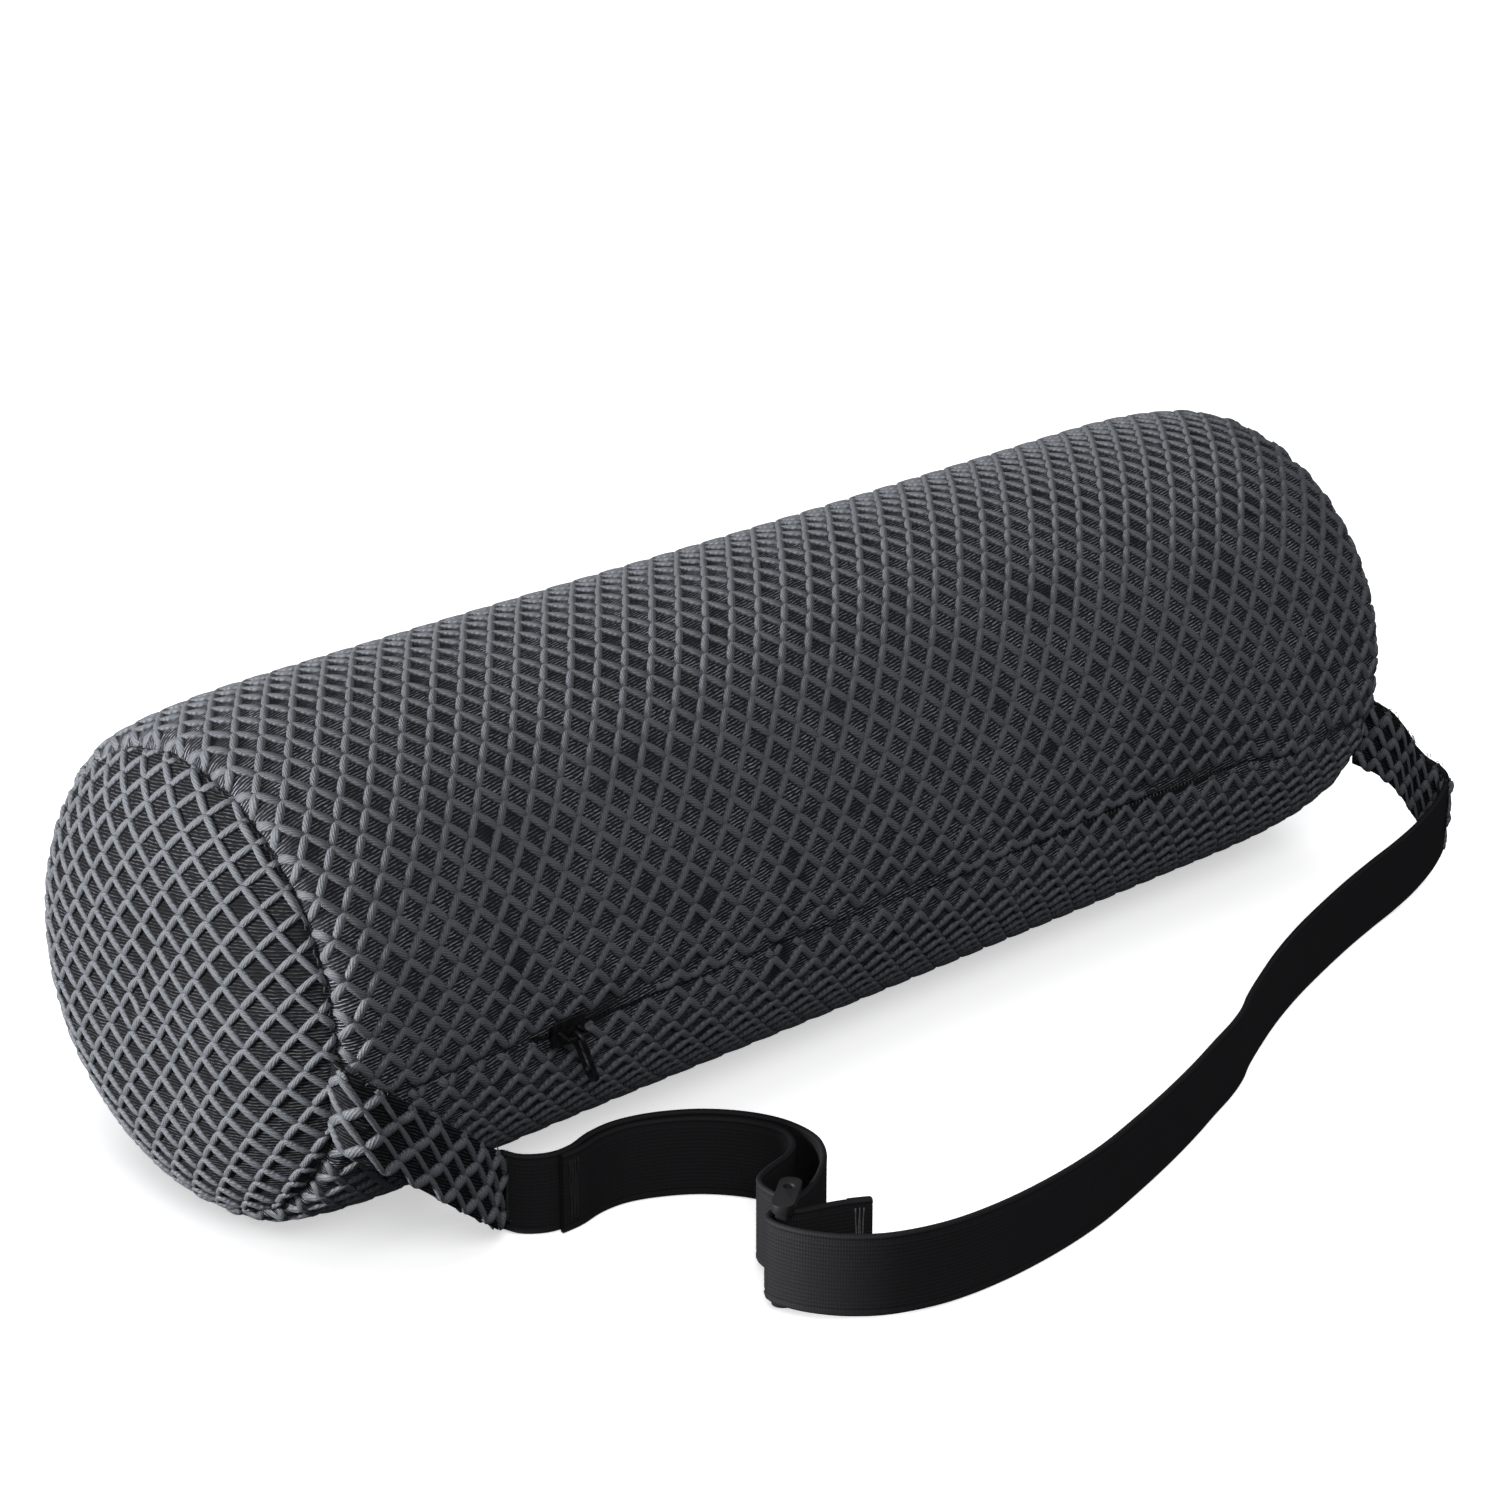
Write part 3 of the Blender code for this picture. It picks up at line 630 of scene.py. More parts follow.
def foam_material():
    m = Shader("foam_core", 0.95, Specular_IOR_Level=0.2)
    world = m.world()
    cells, tone = m.noise(world, 900, 4.0, 0.7), m.noise(world, 45, 2.0)
    m.colour(m.ramp(tone, ((0.3, (0.50, 0.47, 0.40)), (0.7, (0.60, 0.57, 0.50)))))
    m.bump(cells, 0.35 * MM)
    return m.material


def thread_material(name, dark, light):
    m = Shader(name, 0.7, Specular_IOR_Level=0.35)
    world = m.world()
    twist = m.noise(world, 3200, 2.0, 0.6)
    m.colour(m.ramp(twist, ((0.3, dark), (0.7, light))))
    m.bump(twist, 0.06 * MM)
    return m.material


def floor_material():
    m = Shader("studio_floor", 0.9, Specular_IOR_Level=0.0, Emission_Strength=0.53)
    m.shader.inputs["Emission Color"].default_value = (1, 1, 1, 1)
    tone = m.noise(m.world(), 2.5, 2.0)
    m.colour(m.ramp(tone, ((0.2, (0.94, 0.94, 0.95)), (0.8, (0.96, 0.96, 0.97)))))
    return m.material


YARN = yarn_material()
TWILL = twill_material("twill_cloth", 0.017, 0.34)
# The end discs use a darker copy of the same cloth with fainter flecks, so they carry less painted
# sheen than the body.
DISC_TWILL_LESS_SHEEN = twill_material("disc_twill_less_sheen", 0.0060, 0.085)
# The tabs use the darkest copy of the same cloth: painted shade, with almost no painted sheen.
TAB_TWILL_SHADED = twill_material("tab_twill_shaded", 0.0055, 0.05)
ELASTIC = elastic_material()
PLASTIC = plastic_material("moulded_plastic", (0.006, 0.006, 0.0065), 0.03 * MM, 0.42)
COIL = plastic_material("coil_nylon", (0.008, 0.008, 0.009), 0.02 * MM, 0.38)
METAL = metal_material()
TAPE = tape_material()
FOAM = foam_material()
THREAD = thread_material("sewing_thread", (0.006, 0.006, 0.007), (0.022, 0.022, 0.024))
PALE_THREAD = thread_material("hem_thread", (0.05, 0.05, 0.052), (0.14, 0.14, 0.145))


# ---- the roll's pieces ----
def spread(start, *stops):
    """Values from a start, through stops of (end, step): finer where the shape turns."""
    values = [start]
    for end, step in stops:
        count = max(1, round((end - values[-1]) / step))
        values += list(np.linspace(values[-1], end, count + 1)[1:])
    return np.array(values)


def make_body():
    half = spread(
        0.0, (SEAM_ARC - 34 * MM, 2.6 * MM), (SEAM_ARC - 8 * MM, 1.6 * MM),
        (SEAM_ARC, 0.5 * MM), (SEAM_ARC + ALLOWANCE, 1.3 * MM),
    )
    s = np.concatenate([-half[:0:-1], half])
    lip = spread(
        -ALLOWANCE, (0.0, 1.3 * MM), (2.2 * MM, 0.28 * MM), (10 * MM, 1.1 * MM),
        (ROUND / 2, 2.6 * MM),
    )
    t = np.concatenate([lip, ROUND - lip[-2::-1]])
    grid_t, grid_s = np.meshgrid(t, s, indexing="ij")
    grid = roll_point(grid_s, grid_t)
    grid = settle(grid, np.zeros(grid.shape[:2]))
    uv = np.stack([grid_s, grid_t], -1) / MM
    body = thick_sheet("cover_body", grid, TWILL, uv)
    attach(body, "cushion")
    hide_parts("cover_panel")


def make_body_netting():
    """The netting, in three bands by the share of the way round that they cover."""
    rows = roll_rows()
    for name, low, high in (
        ("netting_upper", -1.0, 0.27),
        ("netting_back", 0.27, 0.62),
        ("netting_lower", 0.62, 2.0),
    ):
        chosen = [run for at, run in rows if low * ROUND <= at < high * ROUND]
        net = netting(name, chosen, on_roll, YARN)
        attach(net, "cushion")


def make_discs():
    """Each end disc is two sheets with a wall between them at the rim, closed by fans."""
    for side, name, node, turn in (
        (-1, "end_disc_left", "cap_left", radians(6.5)),
        (1, "end_disc_right", "cap_right", radians(-4.0)),
    ):
        place = disc_point(side)
        arc = spread(
            0.6 * MM, (DISC_RIM - 14 * MM, 2.6 * MM), (DISC_RIM - 4 * MM, 1.0 * MM),
            (DISC_RIM, 0.5 * MM), (DISC_RIM + ALLOWANCE, 1.3 * MM),
        )
        angle = np.linspace(0, 2 * pi, 145)[:-1]
        grid_arc, grid_angle = np.meshgrid(arc, angle, indexing="ij")
        u, v = grid_arc * np.cos(grid_angle), grid_arc * np.sin(grid_angle)
        front = settle(place(u, v), np.zeros(u.shape))
        behind = front - np.array([side * CLOTH, 0, 0])
        # The inner face lies nearer the axis too, so that the turned-in edge has thickness.
        from_axis = behind[..., 1:] - (0, AXIS_Z)
        reach = np.maximum(np.hypot(front[..., 1], front[..., 2] - AXIS_Z), 5 * MM)
        behind[..., 1:] = from_axis * (1 - 0.7 * MM / reach)[..., None] + (0, AXIS_Z)
        rows, columns = u.shape
        count = rows * columns
        hub = side * (SEAM_X + DOME - NET_LIFT)
        middle = np.array([[hub, 0, AXIS_Z], [hub - side * CLOTH, 0, AXIS_Z]])
        points = np.concatenate([front.reshape(-1, 3), behind.reshape(-1, 3), middle])
        flip = side > 0
        faces = grid_faces(rows, columns, wrap_columns=True, flip=flip)
        faces += grid_faces(rows, columns, first=count, wrap_columns=True, flip=not flip)
        ring = np.arange(columns)
        after = (ring + 1) % columns
        last = (rows - 1) * columns
        wall = np.stack([last + ring, last + after, count + last + after, count + last + ring], -1)
        faces += (wall if flip else wall[:, ::-1]).tolist()
        for first, centre, turned in ((0, 2 * count, flip), (count, 2 * count + 1, not flip)):
            fan = np.stack([first + after, first + ring, np.full(columns, centre)], -1)
            faces += (fan[:, ::-1] if turned else fan).tolist()
        flat = np.stack([u, v], -1).reshape(-1, 2) / MM
        uv = np.concatenate([flat, flat, np.zeros((2, 2))])
        disc = mesh_piece(name, points, faces, DISC_TWILL_LESS_SHEEN, uv, sharp=60)
        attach(disc, "cushion")
        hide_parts(node)
        net = netting(f"{name}_netting", disc_rows(turn), on_disc(side), YARN, 0.86 * MM)
        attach(net, "cushion")


# ---- the zip and the end seams ----
def zip_point(x, radius, across):
    """By the zip: along the roll, out from its axis, and down the surface."""
    x, radius, across = np.broadcast_arrays(x, radius, across)
    y = -sin(ZIP_ANGLE) * radius - cos(ZIP_ANGLE) * across
    z = AXIS_Z + cos(ZIP_ANGLE) * radius - sin(ZIP_ANGLE) * across
    return np.stack([x, y, z], -1)


def make_zip():
    coil_radius, stop_radius = 57.38 * MM, 57.3 * MM     # from the roll's axis
    pitch, per_turn = 1.3 * MM, 8
    half = CHAIN_HIGH.x
    turns = int(2 * half / pitch)
    phase = np.arange(turns * per_turn + 1) / per_turn * 2 * pi
    for word, side in (("upper", -1), ("lower", 1)):
        x = -half + pitch * phase / (2 * pi)
        across = side * (0.95 + 0.72 * np.cos(phase)) * MM
        line = zip_point(x, coil_radius + 0.42 * MM * np.sin(phase), across)
        coil = tubes(f"coil_{word}", [line], 0.24 * MM, COIL)
        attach(coil, "cushion")
        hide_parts(f"zip_coil_{word}")
    for word, side in (("left", -1), ("right", 1)):
        across = np.linspace(-2.2, 2.2, 9) * MM
        x = side * (half + 1.2 * MM) + 0 * across
        line = zip_point(x, stop_radius, across)
        stop = tubes(f"stop_{word}", [line], 0.5 * MM, METAL, sides=8)
        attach(stop, "cushion")
        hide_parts(f"zip_stop_{word}")
    for node, body, name, edge in (
        ("zip_slider", "slider", "slider_body", 0.16 * MM),
        ("zip_pull", "pull", "pull_loop", 0.22 * MM),
    ):
        piece = add_object(name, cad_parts[node].data.copy())
        piece.data.materials.clear()
        piece.data.materials.append(METAL)
        solid = bmesh.new()
        solid.from_mesh(piece.data)
        bmesh.ops.remove_doubles(solid, verts=solid.verts, dist=0.01 * MM)
        bmesh.ops.dissolve_limit(
            solid, angle_limit=radians(3), verts=solid.verts, edges=solid.edges
        )
        solid.to_mesh(piece.data)
        solid.free()
        bevel_edges(piece, edge)
        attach(piece, body)
        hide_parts(node)


def make_seam_threads():
    """A lock stitch at the bottom of each end seam, pulled in between the puckers."""
    angle = np.linspace(0, 2 * pi, 481)
    turns, depth = 120, 2.75 * MM
    for word, side in (("left", -1), ("right", 1)):
        x = side * (SEAM_X + 0.25 * MM * np.sin(turns * angle))
        radius = SEAM_RADIUS - depth + 0.12 * MM * np.cos(turns * angle)
        line = np.stack([x, -radius * np.sin(angle), AXIS_Z + radius * np.cos(angle)], -1)
        thread = tubes(f"end_seam_{word}", [line], 0.28 * MM, THREAD)
        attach(thread, "cushion")
        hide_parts(f"seam_thread_{word}")


# ---- ribbons: the tabs and the elastic ----
# The middle of each ribbon's lower edge, in millimetres. They follow the CAD's straps.
TAB_LEFT = (
    (-170.9, -51, 40), (-171.5, -56.6, 38.6), (-168.6, -59.6, 35.8), (-163.5, -61.2, 32),
    (-156.5, -62.2, 26.4), (-148, -62.2, 19),
    (-138, -59.8, 10.5), (-131, -56, 4.5), (-127.4, -52.8, 1.8),
)
TAB_RIGHT = (
    (170.6, -49, 29.6), (171.6, -54.5, 28.8), (173.8, -58.8, 26.2), (176.8, -61.4, 21.6),
    (179.2, -63.3, 16.6), (181.2, -65.2, 13.6), (182.4, -67.2, 12.2), (182.7, -69.5, 11),
    (181.8, -71.6, 9.8), (180.2, -72.7, 8.5),
)
STRAP_LEFT = (
    (-129.2, -54.4, 3.2), (-127.5, -52.9, 1.9), (-126.2, -51.9, 1.2), (-123.2, -55.2, 0.2),
    (-118, -58.8, 0.2), (-112, -59.2, 0.2),
    (-105, -57.3, 0.2), (-97, -57.2, 0.2), (-88, -60.2, 0.2), (-79, -66.2, 0.2),
    (-72, -74.6, 0.2), (-68.6, -84, 0.4), (-69.6, -94, 1), (-74.8, -102.2, 1.8),
    (-81.5, -108, 2.4), (-86.8, -111.2, 2.5), (-90.9, -112.9, 2.5), (-93.4, -113.4, 2.5),
    (-94.9, -112.5, 2.5), (-95.7, -110.6, 2.5), (-96, -107.5, 2.5), (-95.4, -104, 2.5),
    (-93.2, -101, 2.2), (-89, -98.6, 1.6), (-84, -96.6, 1), (-79, -94.8, 0.5),
    (-74.8, -92.2, 0.2), (-72.4, -88.2, 0.2), (-72, -83.5, 0.2), (-75, -76.2, 0.2),
    (-81.3, -68.6, 0.2), (-89.2, -63.1, 0.2), (-96.8, -60, 0.2), (-104, -59.6, 0.2),
    (-111, -61, 0.2), (-116.5, -61.1, 0.2),
)
STRAP_RIGHT = (
    (179.4, -63.5, 16.3), (181.2, -65.2, 13.6), (182.4, -67.2, 12.2), (182.7, -69.5, 11),
    (181.8, -71.6, 9.8),
    (180, -72.8, 8.3), (174.4, -74.3, 5.5), (165.6, -75.7, 2.5), (155, -77.4, 0.8),
    (143, -79.8, 0.2), (129, -83.5, 0.2), (113, -88.3, 0.2), (97, -93.6, 0.2),
    (82, -99.5, 0.2), (69, -105.5, 0.2), (59, -110.5, 0.2), (52, -114.6, 0.2),
    (44, -118.2, 0.2), (34, -121.8, 0.2), (22, -126.2, 0.2), (8, -130.8, 0.2),
    (-8, -135.4, 0.2), (-25, -139.6, 0.2), (-42, -141.9, 0.2), (-59, -142.4, 0.2),
    (-74, -141, 0.4), (-87, -137.4, 1), (-96, -132.4, 1.8), (-101.8, -126.4, 2.4),
    (-104.2, -121.2, 2.5), (-104.8, -118.2, 2.5), (-104.4, -115.8, 2.5), (-102.8, -114.5, 2.5),
    (-100.9, -114.6, 2.5), (-99.3, -115.9, 2.5), (-97.6, -117.6, 2.5), (-95, -118.8, 2.5),
    (-91, -120, 2.4), (-86, -121.4, 2), (-80.5, -123.4, 1.4),
)


class Ribbon:
    """A strip that stands on its edge along a smooth route through these knots."""

    def __init__(self, route):
        spacing = 1.0 * MM
        knots = np.array(route) * MM
        knots = np.concatenate([[2 * knots[0] - knots[1]], knots, [2 * knots[-1] - knots[-2]]])
        line = [knots[1]]
        for a, b, c, d in zip(knots, knots[1:], knots[2:], knots[3:]):
            count = max(1, round(float(np.linalg.norm(c - b)) / spacing))
            for k in range(1, count + 1):
                t = k / count
                line.append(
                    0.5 * (2 * b + (c - a) * t + (2 * a - 5 * b + 4 * c - d) * t**2
                           + (3 * b - a - 3 * c + d) * t**3)
                )
        self.line = np.array(line)
        steps = np.linalg.norm(np.diff(self.line, axis=0), axis=1)
        self.arc = np.concatenate([[0], np.cumsum(steps)])
        self.length = self.arc[-1]
        level = unit(np.gradient(self.line[:, :2], axis=0))
        self.left = np.stack([-level[:, 1], level[:, 0]], -1)

    def at(self, arc, up, out):
        """Points along the strip, up from its lower edge, and out to its left."""
        centre = [np.interp(arc, self.arc, self.line[:, k]) for k in range(3)]
        left = [np.interp(arc, self.arc, self.left[:, k]) for k in range(2)]
        size = np.maximum(np.hypot(*left), 1e-9)
        return np.stack(
            [centre[0] + left[0] / size * out, centre[1] + left[1] / size * out, centre[2] + up], -1
        )


def loft(name, ribbon, grid_arc, grid_up, grid_out, surface):
    """A closed piece on a ribbon, from rings of points along it."""
    points = ribbon.at(grid_arc, grid_up, grid_out).reshape(-1, 3)
    uv = np.stack([grid_arc, grid_up], -1).reshape(-1, 2) / MM
    return mesh_piece(name, points, loft_faces(*grid_arc.shape), surface, uv, sharp=55)


def strip(name, ribbon, outline, surface, step, wave=lambda arc, up: 0 * up):
    """A closed strip with this (out, up) outline. wave changes out by arc and height."""
    arc = np.linspace(0, ribbon.length, ceil(ribbon.length / step) + 1)
    out, up = np.array(outline).T
    grid_arc, grid_up = np.meshgrid(arc, up, indexing="ij")
    return loft(name, ribbon, grid_arc, grid_up, out + wave(grid_arc, grid_up), surface)


def both_faces(depth, up):
    """An outline of (out, up) pairs: up one face and down the other."""
    right = list(zip(depth, up))
    return [(-d, u) for d, u in right] + right[::-1]


def elastic_outline(thickness):
    """Flat faces with fine ribs, a groove inside each selvage, and rounded edges."""
    half = thickness / 2
    low = [0.0, 0.18, 0.55, 1.0, 1.35]
    high = [18.65, 19.0, 19.45, 19.82, 20.0]
    up = np.concatenate([low, np.linspace(1.8, 18.2, 25), high]) * MM
    depth = half + 0.015 * MM * np.cos(np.arange(len(up)) * pi)
    depth[[0, -1]] = half * 0.45
    depth[[1, -2]] = half * 0.82
    depth[[2, 3, -3, -4]] = half + 0.06 * MM
    depth[[4, -5]] = half - 0.16 * MM
    return both_faces(depth, up)


def tab_outline(thickness):
    half = thickness / 2
    up = np.concatenate([[0.0, 0.3, 0.9], np.linspace(2, 18, 9), [19.1, 19.7, 20.0]]) * MM
    depth = np.full(len(up), half)
    depth[[0, -1]], depth[[1, -2]], depth[[2, -3]] = half * 0.3, half * 0.75, half * 0.95
    return both_faces(depth, up)


def tab_rows(ribbon, cell, shift):
    """The strands along a tab, cut off at its folded edges."""
    reach = TAB_CELL_UP / 4 - STRAND_INSET
    phase = phases(-1, ceil(ribbon.length / cell) + 2)
    rows = []
    for k in range(-1, ceil(2 * STRAP_WIDTH / TAB_CELL_UP) + 1):
        a = (phase + 0.5 * (k % 2) + shift) * cell
        b = (k + 0.5) * TAB_CELL_UP / 2 + zigzag(phase, reach)
        keep = (a > 0.3 * MM) & (a < ribbon.length - 0.3 * MM)
        keep &= (b > 0.25 * MM) & (b < STRAP_WIDTH - 0.25 * MM)
        rows += strands(a, b, phase, keep)
    return rows


def frayed_ends(ribbon, thickness, count):
    """Cut yarn ends that stand up from a tab's folded top edge and from its sewn end."""
    hairs = []
    for k in range(count):
        at_end = k % 4 == 0
        if at_end:
            arc = ribbon.length - rng.uniform(0, 1.0) * MM
            up = rng.uniform(2, 19) * MM
        else:
            arc = rng.uniform(4 * MM, ribbon.length)
            up = STRAP_WIDTH - rng.uniform(0, 0.6) * MM
        out = rng.choice([-1, 1]) * (thickness / 2 + rng.uniform(0.2, 0.9) * MM)
        reach = rng.uniform(1.2, 3.0) * MM
        lean = rng.uniform(-1, 1, 2)
        t = np.linspace(0, 1, 5)
        arcs = arc + reach * t * (0.8 * (1 if at_end else lean[0]))
        ups = up + reach * (t - 0.55 * t * t) * (0.3 * lean[1] if at_end else 0.9)
        outs = out + reach * 0.45 * lean[1] * t * t
        hairs.append(ribbon.at(np.minimum(arcs, ribbon.length), ups, outs))
    return hairs


def stitches(ribbon, arc, span, rows, out):
    """A zigzag of thread up and down one face of a ribbon."""
    low, high = 2.0 * MM, 18.0 * MM
    k = np.arange(rows * 12 + 1) / 12
    arcs = arc + (k / rows - 0.5) * span
    ups = low + (high - low) * np.abs((k % 2) - 1)
    dip = 0.12 * MM * np.sin(k * 12)
    return [ribbon.at(arcs, ups, out + dip)]


def make_tabs():
    thickness = 1.6 * MM
    root = 5 * MM
    for word, route, start, end, cell, shift, hairs in (
        ("left", TAB_LEFT, (-171.6, -57.8, 48), (-155, -62, 40), 9.0, 0.15, 56),
        ("right", TAB_RIGHT, (171.8, -57.0, 42), (180.5, -63, 30), 5.2, 0.4, 30),
    ):
        ribbon = Ribbon(route)

        def wave(arc, up):
            ripple = 0.35 * MM * np.sin(arc / (3.2 * MM) + up / (5 * MM))
            return ripple * smooth(arc, root, 2 * root)

        outline = tab_outline(thickness)
        cloth = strip(f"tab_{word}_cloth", ribbon, outline, TAB_TWILL_SHADED, 1.2 * MM, wave)
        rows = tab_rows(ribbon, cell * MM, shift)
        parts = [cloth]
        for side, face in ((1, "inner"), (-1, "outer")):

            def place(a, b, lift, side=side):
                return ribbon.at(a, b, side * (thickness / 2 + 1.15 * lift) + wave(a, b))

            parts.append(netting(f"tab_{word}_netting_{face}", rows, place, YARN, 1.0 * MM))
        frayed = frayed_ends(ribbon, thickness, hairs)
        parts.append(tubes(f"tab_{word}_fray", frayed, 0.09 * MM, YARN, 4))
        lines = stitches(ribbon, ribbon.length - 2.2 * MM, 2.6 * MM, 6, -(thickness / 2 + 1.0 * MM))
        sewn = tubes(f"tab_{word}_stitching", lines, 0.2 * MM, THREAD)
        for piece in (*parts, sewn):
            [c * MM for c in start]
            [c * MM for c in end]
            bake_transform(piece)
        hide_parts(f"tab_{word}")
        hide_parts(f"tab_stitch_{word}")
        others = [*parts[1:], sewn]


def make_hem(ribbon, thickness):
    """The elastic's free end is turned over once and sewn down, so it is thick and round."""
    arc = np.linspace(ribbon.length - 5.5 * MM, ribbon.length + 0.4 * MM, 12)
    turn = np.clip((np.linspace(0, 1, 12) - 0.86) / 0.14, 0, 1)
    half = (thickness / 2 + 0.15 * MM) * np.sqrt(np.clip(1 - turn**2, 0.04, 1))
    up = np.concatenate([[0.1, 0.5], np.linspace(1.4, 18.6, 12), [19.5, 19.9]]) * MM
    narrow = np.concatenate([[0.35, 0.85], np.ones(12), [0.85, 0.35]])
    share, up = np.array(both_faces(narrow, up)).T
    out = 0.55 * MM + half[:, None] * share
    hem = loft("elastic_hem", ribbon, *np.meshgrid(arc, up, indexing="ij"), out, ELASTIC)
    return hem


def make_elastic():
    thickness = 1.3 * MM
    for word, route, node, arc, span, rows, side, surface in (
        ("left", STRAP_LEFT, "loop_stitch", -3.0, 2.4, 6, 1, THREAD),
        ("right", STRAP_RIGHT, "hem_stitch", -3.2, 2.0, 4, -1, PALE_THREAD),
    ):
        ribbon = Ribbon(route)
        outline = elastic_outline(thickness)
        piece = strip(f"elastic_{word}", ribbon, outline, ELASTIC, 1.6 * MM)
        out = side * (thickness / 2 + 0.1 * MM)
        lines = stitches(ribbon, ribbon.length + arc * MM, span * MM, rows, out)
        sewn = tubes(f"{node}_thread", lines, 0.17 * MM, surface)
        extra = [sewn]
        if word == "right":
            extra.append(make_hem(ribbon, thickness))
        for made in (piece, *extra):
            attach(made, "strap_loop")
        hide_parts(f"strap_{word}")
        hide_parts(node)


# ---- the adjuster ----
# The level directions along the adjuster and out from the roll.
ADJUSTER_LONG = (0.8, 0.6)
ADJUSTER_OUT = (0.6, -0.8)


def upright(outline, low, high):
    """A solid that stands on this outline, given along and out from the adjuster's middle."""
    middle = (ADJUSTER_LOW + ADJUSTER_HIGH) / 2
    n = len(outline)
    points = []
    for z in (low, high):
        for a, b in outline:
            x = middle.x + ADJUSTER_LONG[0] * a + ADJUSTER_OUT[0] * b
            y = middle.y + ADJUSTER_LONG[1] * a + ADJUSTER_OUT[1] * b
            points.append((x, y, z))
    faces = [(k, n + k, n + (k + 1) % n, (k + 1) % n) for k in range(n)]
    faces += [list(range(n)), list(range(2 * n - 1, n - 1, -1))]
    return points, faces


def rounded(half_long, half_wide, radius, steps=5):
    """A rectangle with round corners."""
    outline = []
    for corner, (sx, sy) in enumerate(((1, 1), (-1, 1), (-1, -1), (1, -1))):
        for k in range(steps + 1):
            angle = pi / 2 * (corner + k / steps)
            outline.append((
                sx * (half_long - radius) + radius * cos(angle),
                sy * (half_wide - radius) + radius * sin(angle),
            ))
    return outline


def make_adjuster():
    """Three upright bars between two rounded rails, with a moulding dimple in the top."""
    low, high = ADJUSTER_LOW.z, ADJUSTER_HIGH.z
    rail = 2.2 * MM
    plan = rounded(6.8 * MM, 2.5 * MM, 2.2 * MM)
    blocks = [upright(plan, high - rail, high), upright(plan, low, low + rail)]
    for centre, width in ((-5.65, 2.1), (0, 2.6), (5.65, 2.1)):
        bar = [(centre * MM + a, b) for a, b in rounded(width * MM / 2, 1.5 * MM, 0.8 * MM, 3)]
        blocks.append(upright(bar, low + rail / 2, high - rail / 2))
    middle, radius, sides = 2.6 * MM, 1.3 * MM, 20
    angles = [2 * pi * k / sides for k in range(sides)]
    dimple = [(middle + radius * cos(angle), radius * sin(angle)) for angle in angles]
    blocks.append(upright(dimple, high - 0.9 * MM, high + 1 * MM))
    made = [mesh_piece(f"adjuster_block_{k}", *block, PLASTIC) for k, block in enumerate(blocks)]
    for piece in made:
        piece.data.validate()
    body = made[0]
    body.name = "adjuster_moulding"
    for k, other in enumerate(made[1:]):
        modifier = body.modifiers.new(f"part_{k}", "BOOLEAN")
        modifier.operation = "DIFFERENCE" if other is made[-1] else "UNION"
        modifier.solver = "EXACT"
        modifier.object = other
    apply_modifiers(body)
    for other in made[1:]:
        bpy.data.objects.remove(other)
    bevel_edges(body, 0.3 * MM, 3)
    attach(body, "strap_loop")
    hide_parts("adjuster")


# ---- stage ----
def make_floor():
    half = 4
    corners = [(-half, -half, 0), (half, -half, 0), (half, half, 0), (-half, half, 0)]
    floor = mesh_piece("floor", corners, [(0, 1, 2, 3)], floor_material())
    floor.visible_diffuse = False
    floor.visible_glossy = False
    return floor


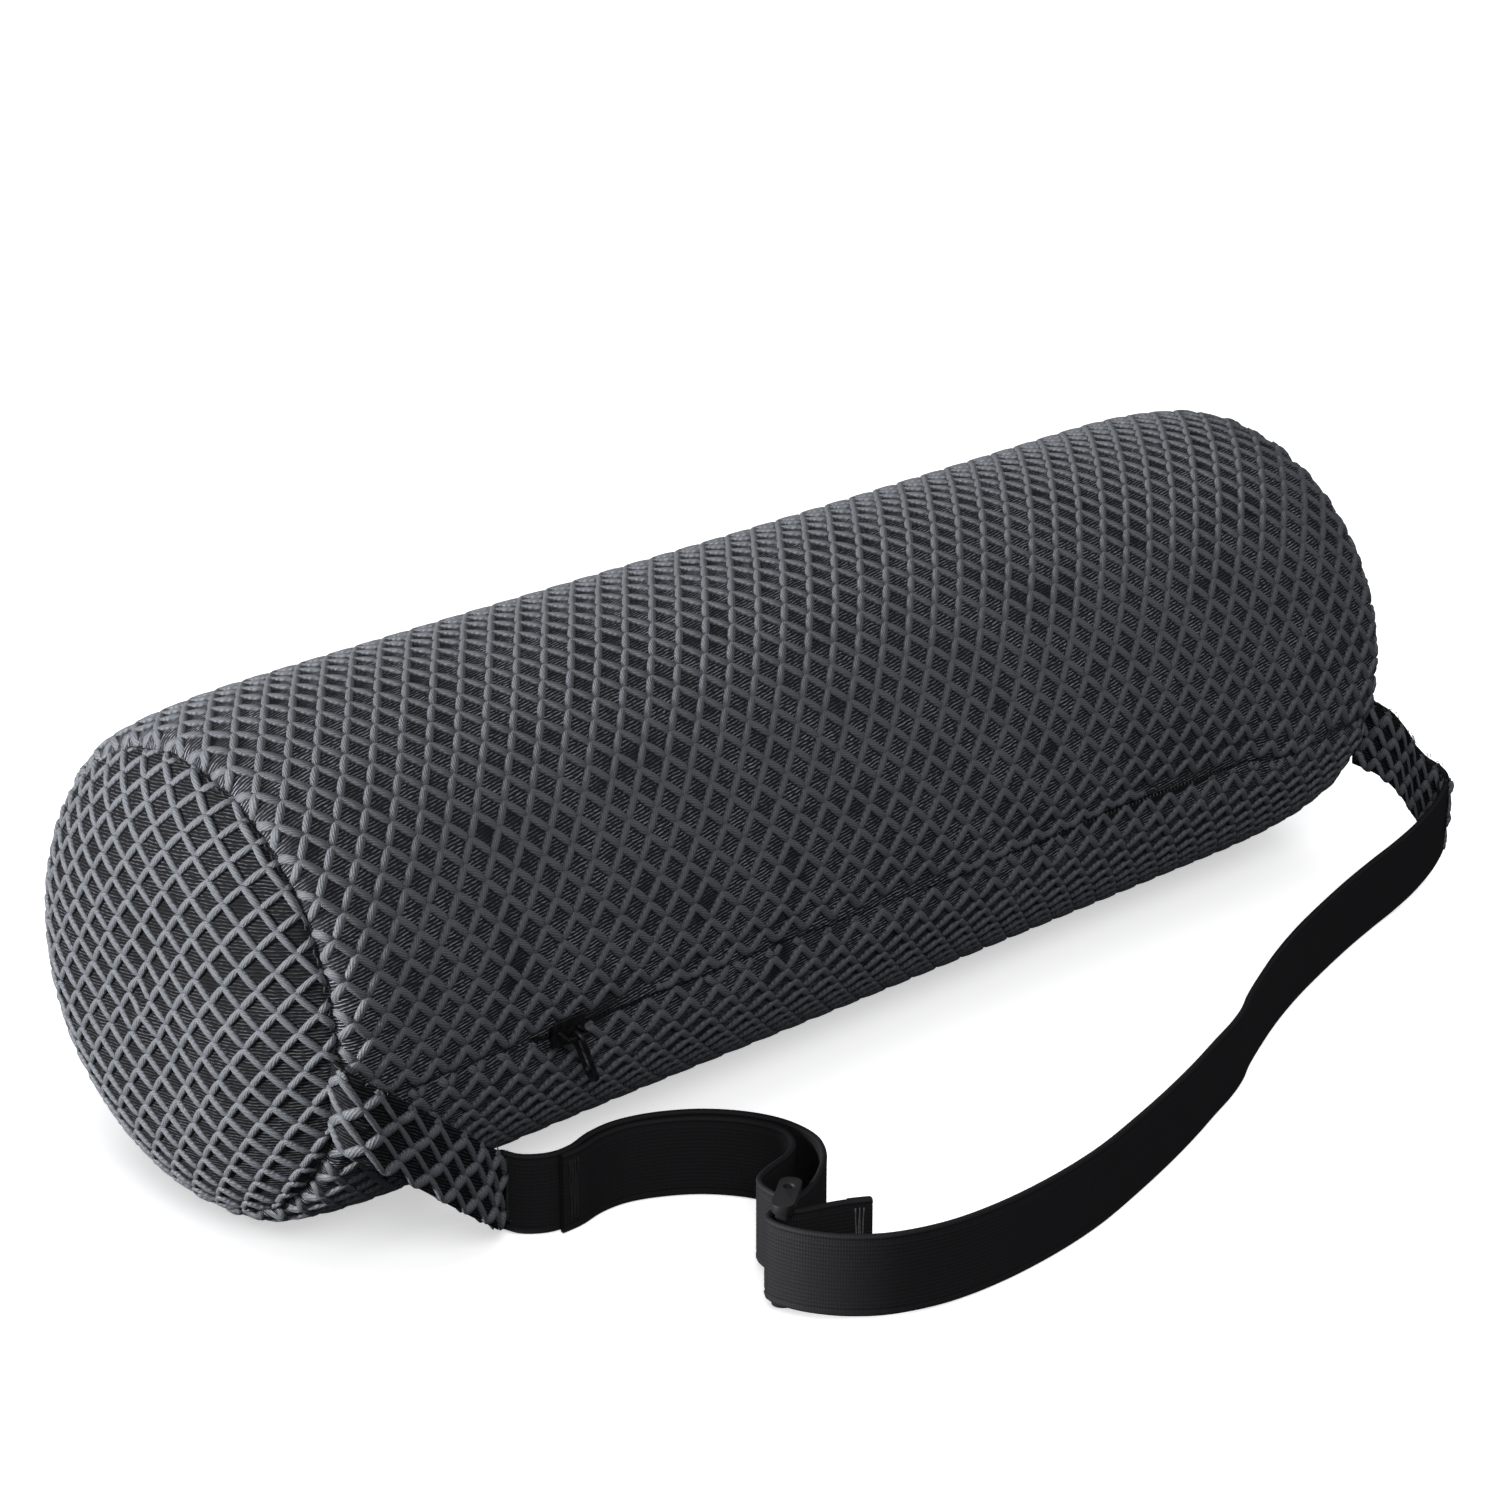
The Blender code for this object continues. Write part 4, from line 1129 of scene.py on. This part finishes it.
def make_world():
    world = bpy.data.worlds.new("studio")
    bpy.context.scene.world = world
    world.use_nodes = True
    nodes, links = world.node_tree.nodes, world.node_tree.links
    direction, split, ramp, rays, backdrop, chosen = (
        nodes.new(f"ShaderNode{kind}")
        for kind in ("TexCoord", "SeparateXYZ", "ValToRGB", "LightPath", "Background", "MixShader")
    )
    ambient = nodes["Background"]
    links.new(direction.outputs["Generated"], split.inputs[0])
    links.new(split.outputs["Z"], ramp.inputs["Fac"])
    low, high = ramp.color_ramp.elements
    low.position, low.color = 0.0, (0.10, 0.10, 0.11, 1)
    high.position, high.color = 0.35, (0.97, 0.985, 1.0, 1)
    ramp.color_ramp.elements.new(1.0).color = (0.30, 0.31, 0.33, 1)
    links.new(ramp.outputs["Color"], ambient.inputs["Color"])
    ambient.inputs["Strength"].default_value = 0.50
    # The ramp lights the object. Seen past the floor's edge, the backdrop is plain white.
    backdrop.inputs["Color"].default_value = (1, 1, 1, 1)
    links.new(rays.outputs["Is Camera Ray"], chosen.inputs[0])
    links.new(ambient.outputs[0], chosen.inputs[1])
    links.new(backdrop.outputs[0], chosen.inputs[2])
    links.new(chosen.outputs[0], nodes["World Output"].inputs["Surface"])


def make_lamps(floor):
    """One lamp lights everything. Two leave out the floor, and one overhead lights only that."""
    for name, at, aim, size, power, floor_link in (
        ("key_left", (-1.53, 0.42, 0.50), (-0.12, 0, 0.06), 0.34, 68, "EXCLUDE"),
        ("top_back_left", (-0.75, 0.80, 1.15), (0, 0, 0.06), 0.6, 3.5, "EXCLUDE"),
        ("front_left", (-0.80, -1.20, 1.25), (-0.05, -0.05, 0.05), 0.8, 15, None),
        ("floor_wash", (0, 0, 2.5), (0, 0, 0), 3.0, 36, "INCLUDE"),
    ):
        light = bpy.data.lights.new(name, "AREA")
        light.shape = "DISK"
        light.size = size
        light.energy = power
        lamp = add_object(name, light)
        lamp.location = at
        lamp.rotation_euler = (Vector(aim) - Vector(at)).to_track_quat("-Z", "Y").to_euler()
        if floor_link:
            lit = bpy.data.collections.new(f"{name}_light_link")
            lit.objects.link(floor)
            lit.collection_objects[0].light_linking.link_state = floor_link
            lamp.light_linking.receiver_collection = lit


def make_camera():
    data = bpy.data.cameras.new("camera")
    data.sensor_width = 36
    data.lens = 96.08
    data.clip_start, data.clip_end = 0.01, 20
    camera = add_object("camera", data)
    camera.location = (-0.61679, -0.67226, 0.4456)
    camera.rotation_euler = (radians(90 - 22.577), 0, radians(-42.358))
    bpy.context.scene.camera = camera
    bpy.context.scene.view_settings.view_transform = "Standard"


make_camera()
make_world()
make_lamps(make_floor())
make_body()
make_body_netting()
make_discs()
make_zip()
make_seam_threads()
make_tabs()
make_elastic()
make_adjuster()

for node, surface in (("foam_core", FOAM), ("zip_tape_upper", TAPE), ("zip_tape_lower", TAPE)):
    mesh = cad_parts[node].data
    mesh.materials.clear()
    mesh.materials.append(surface)
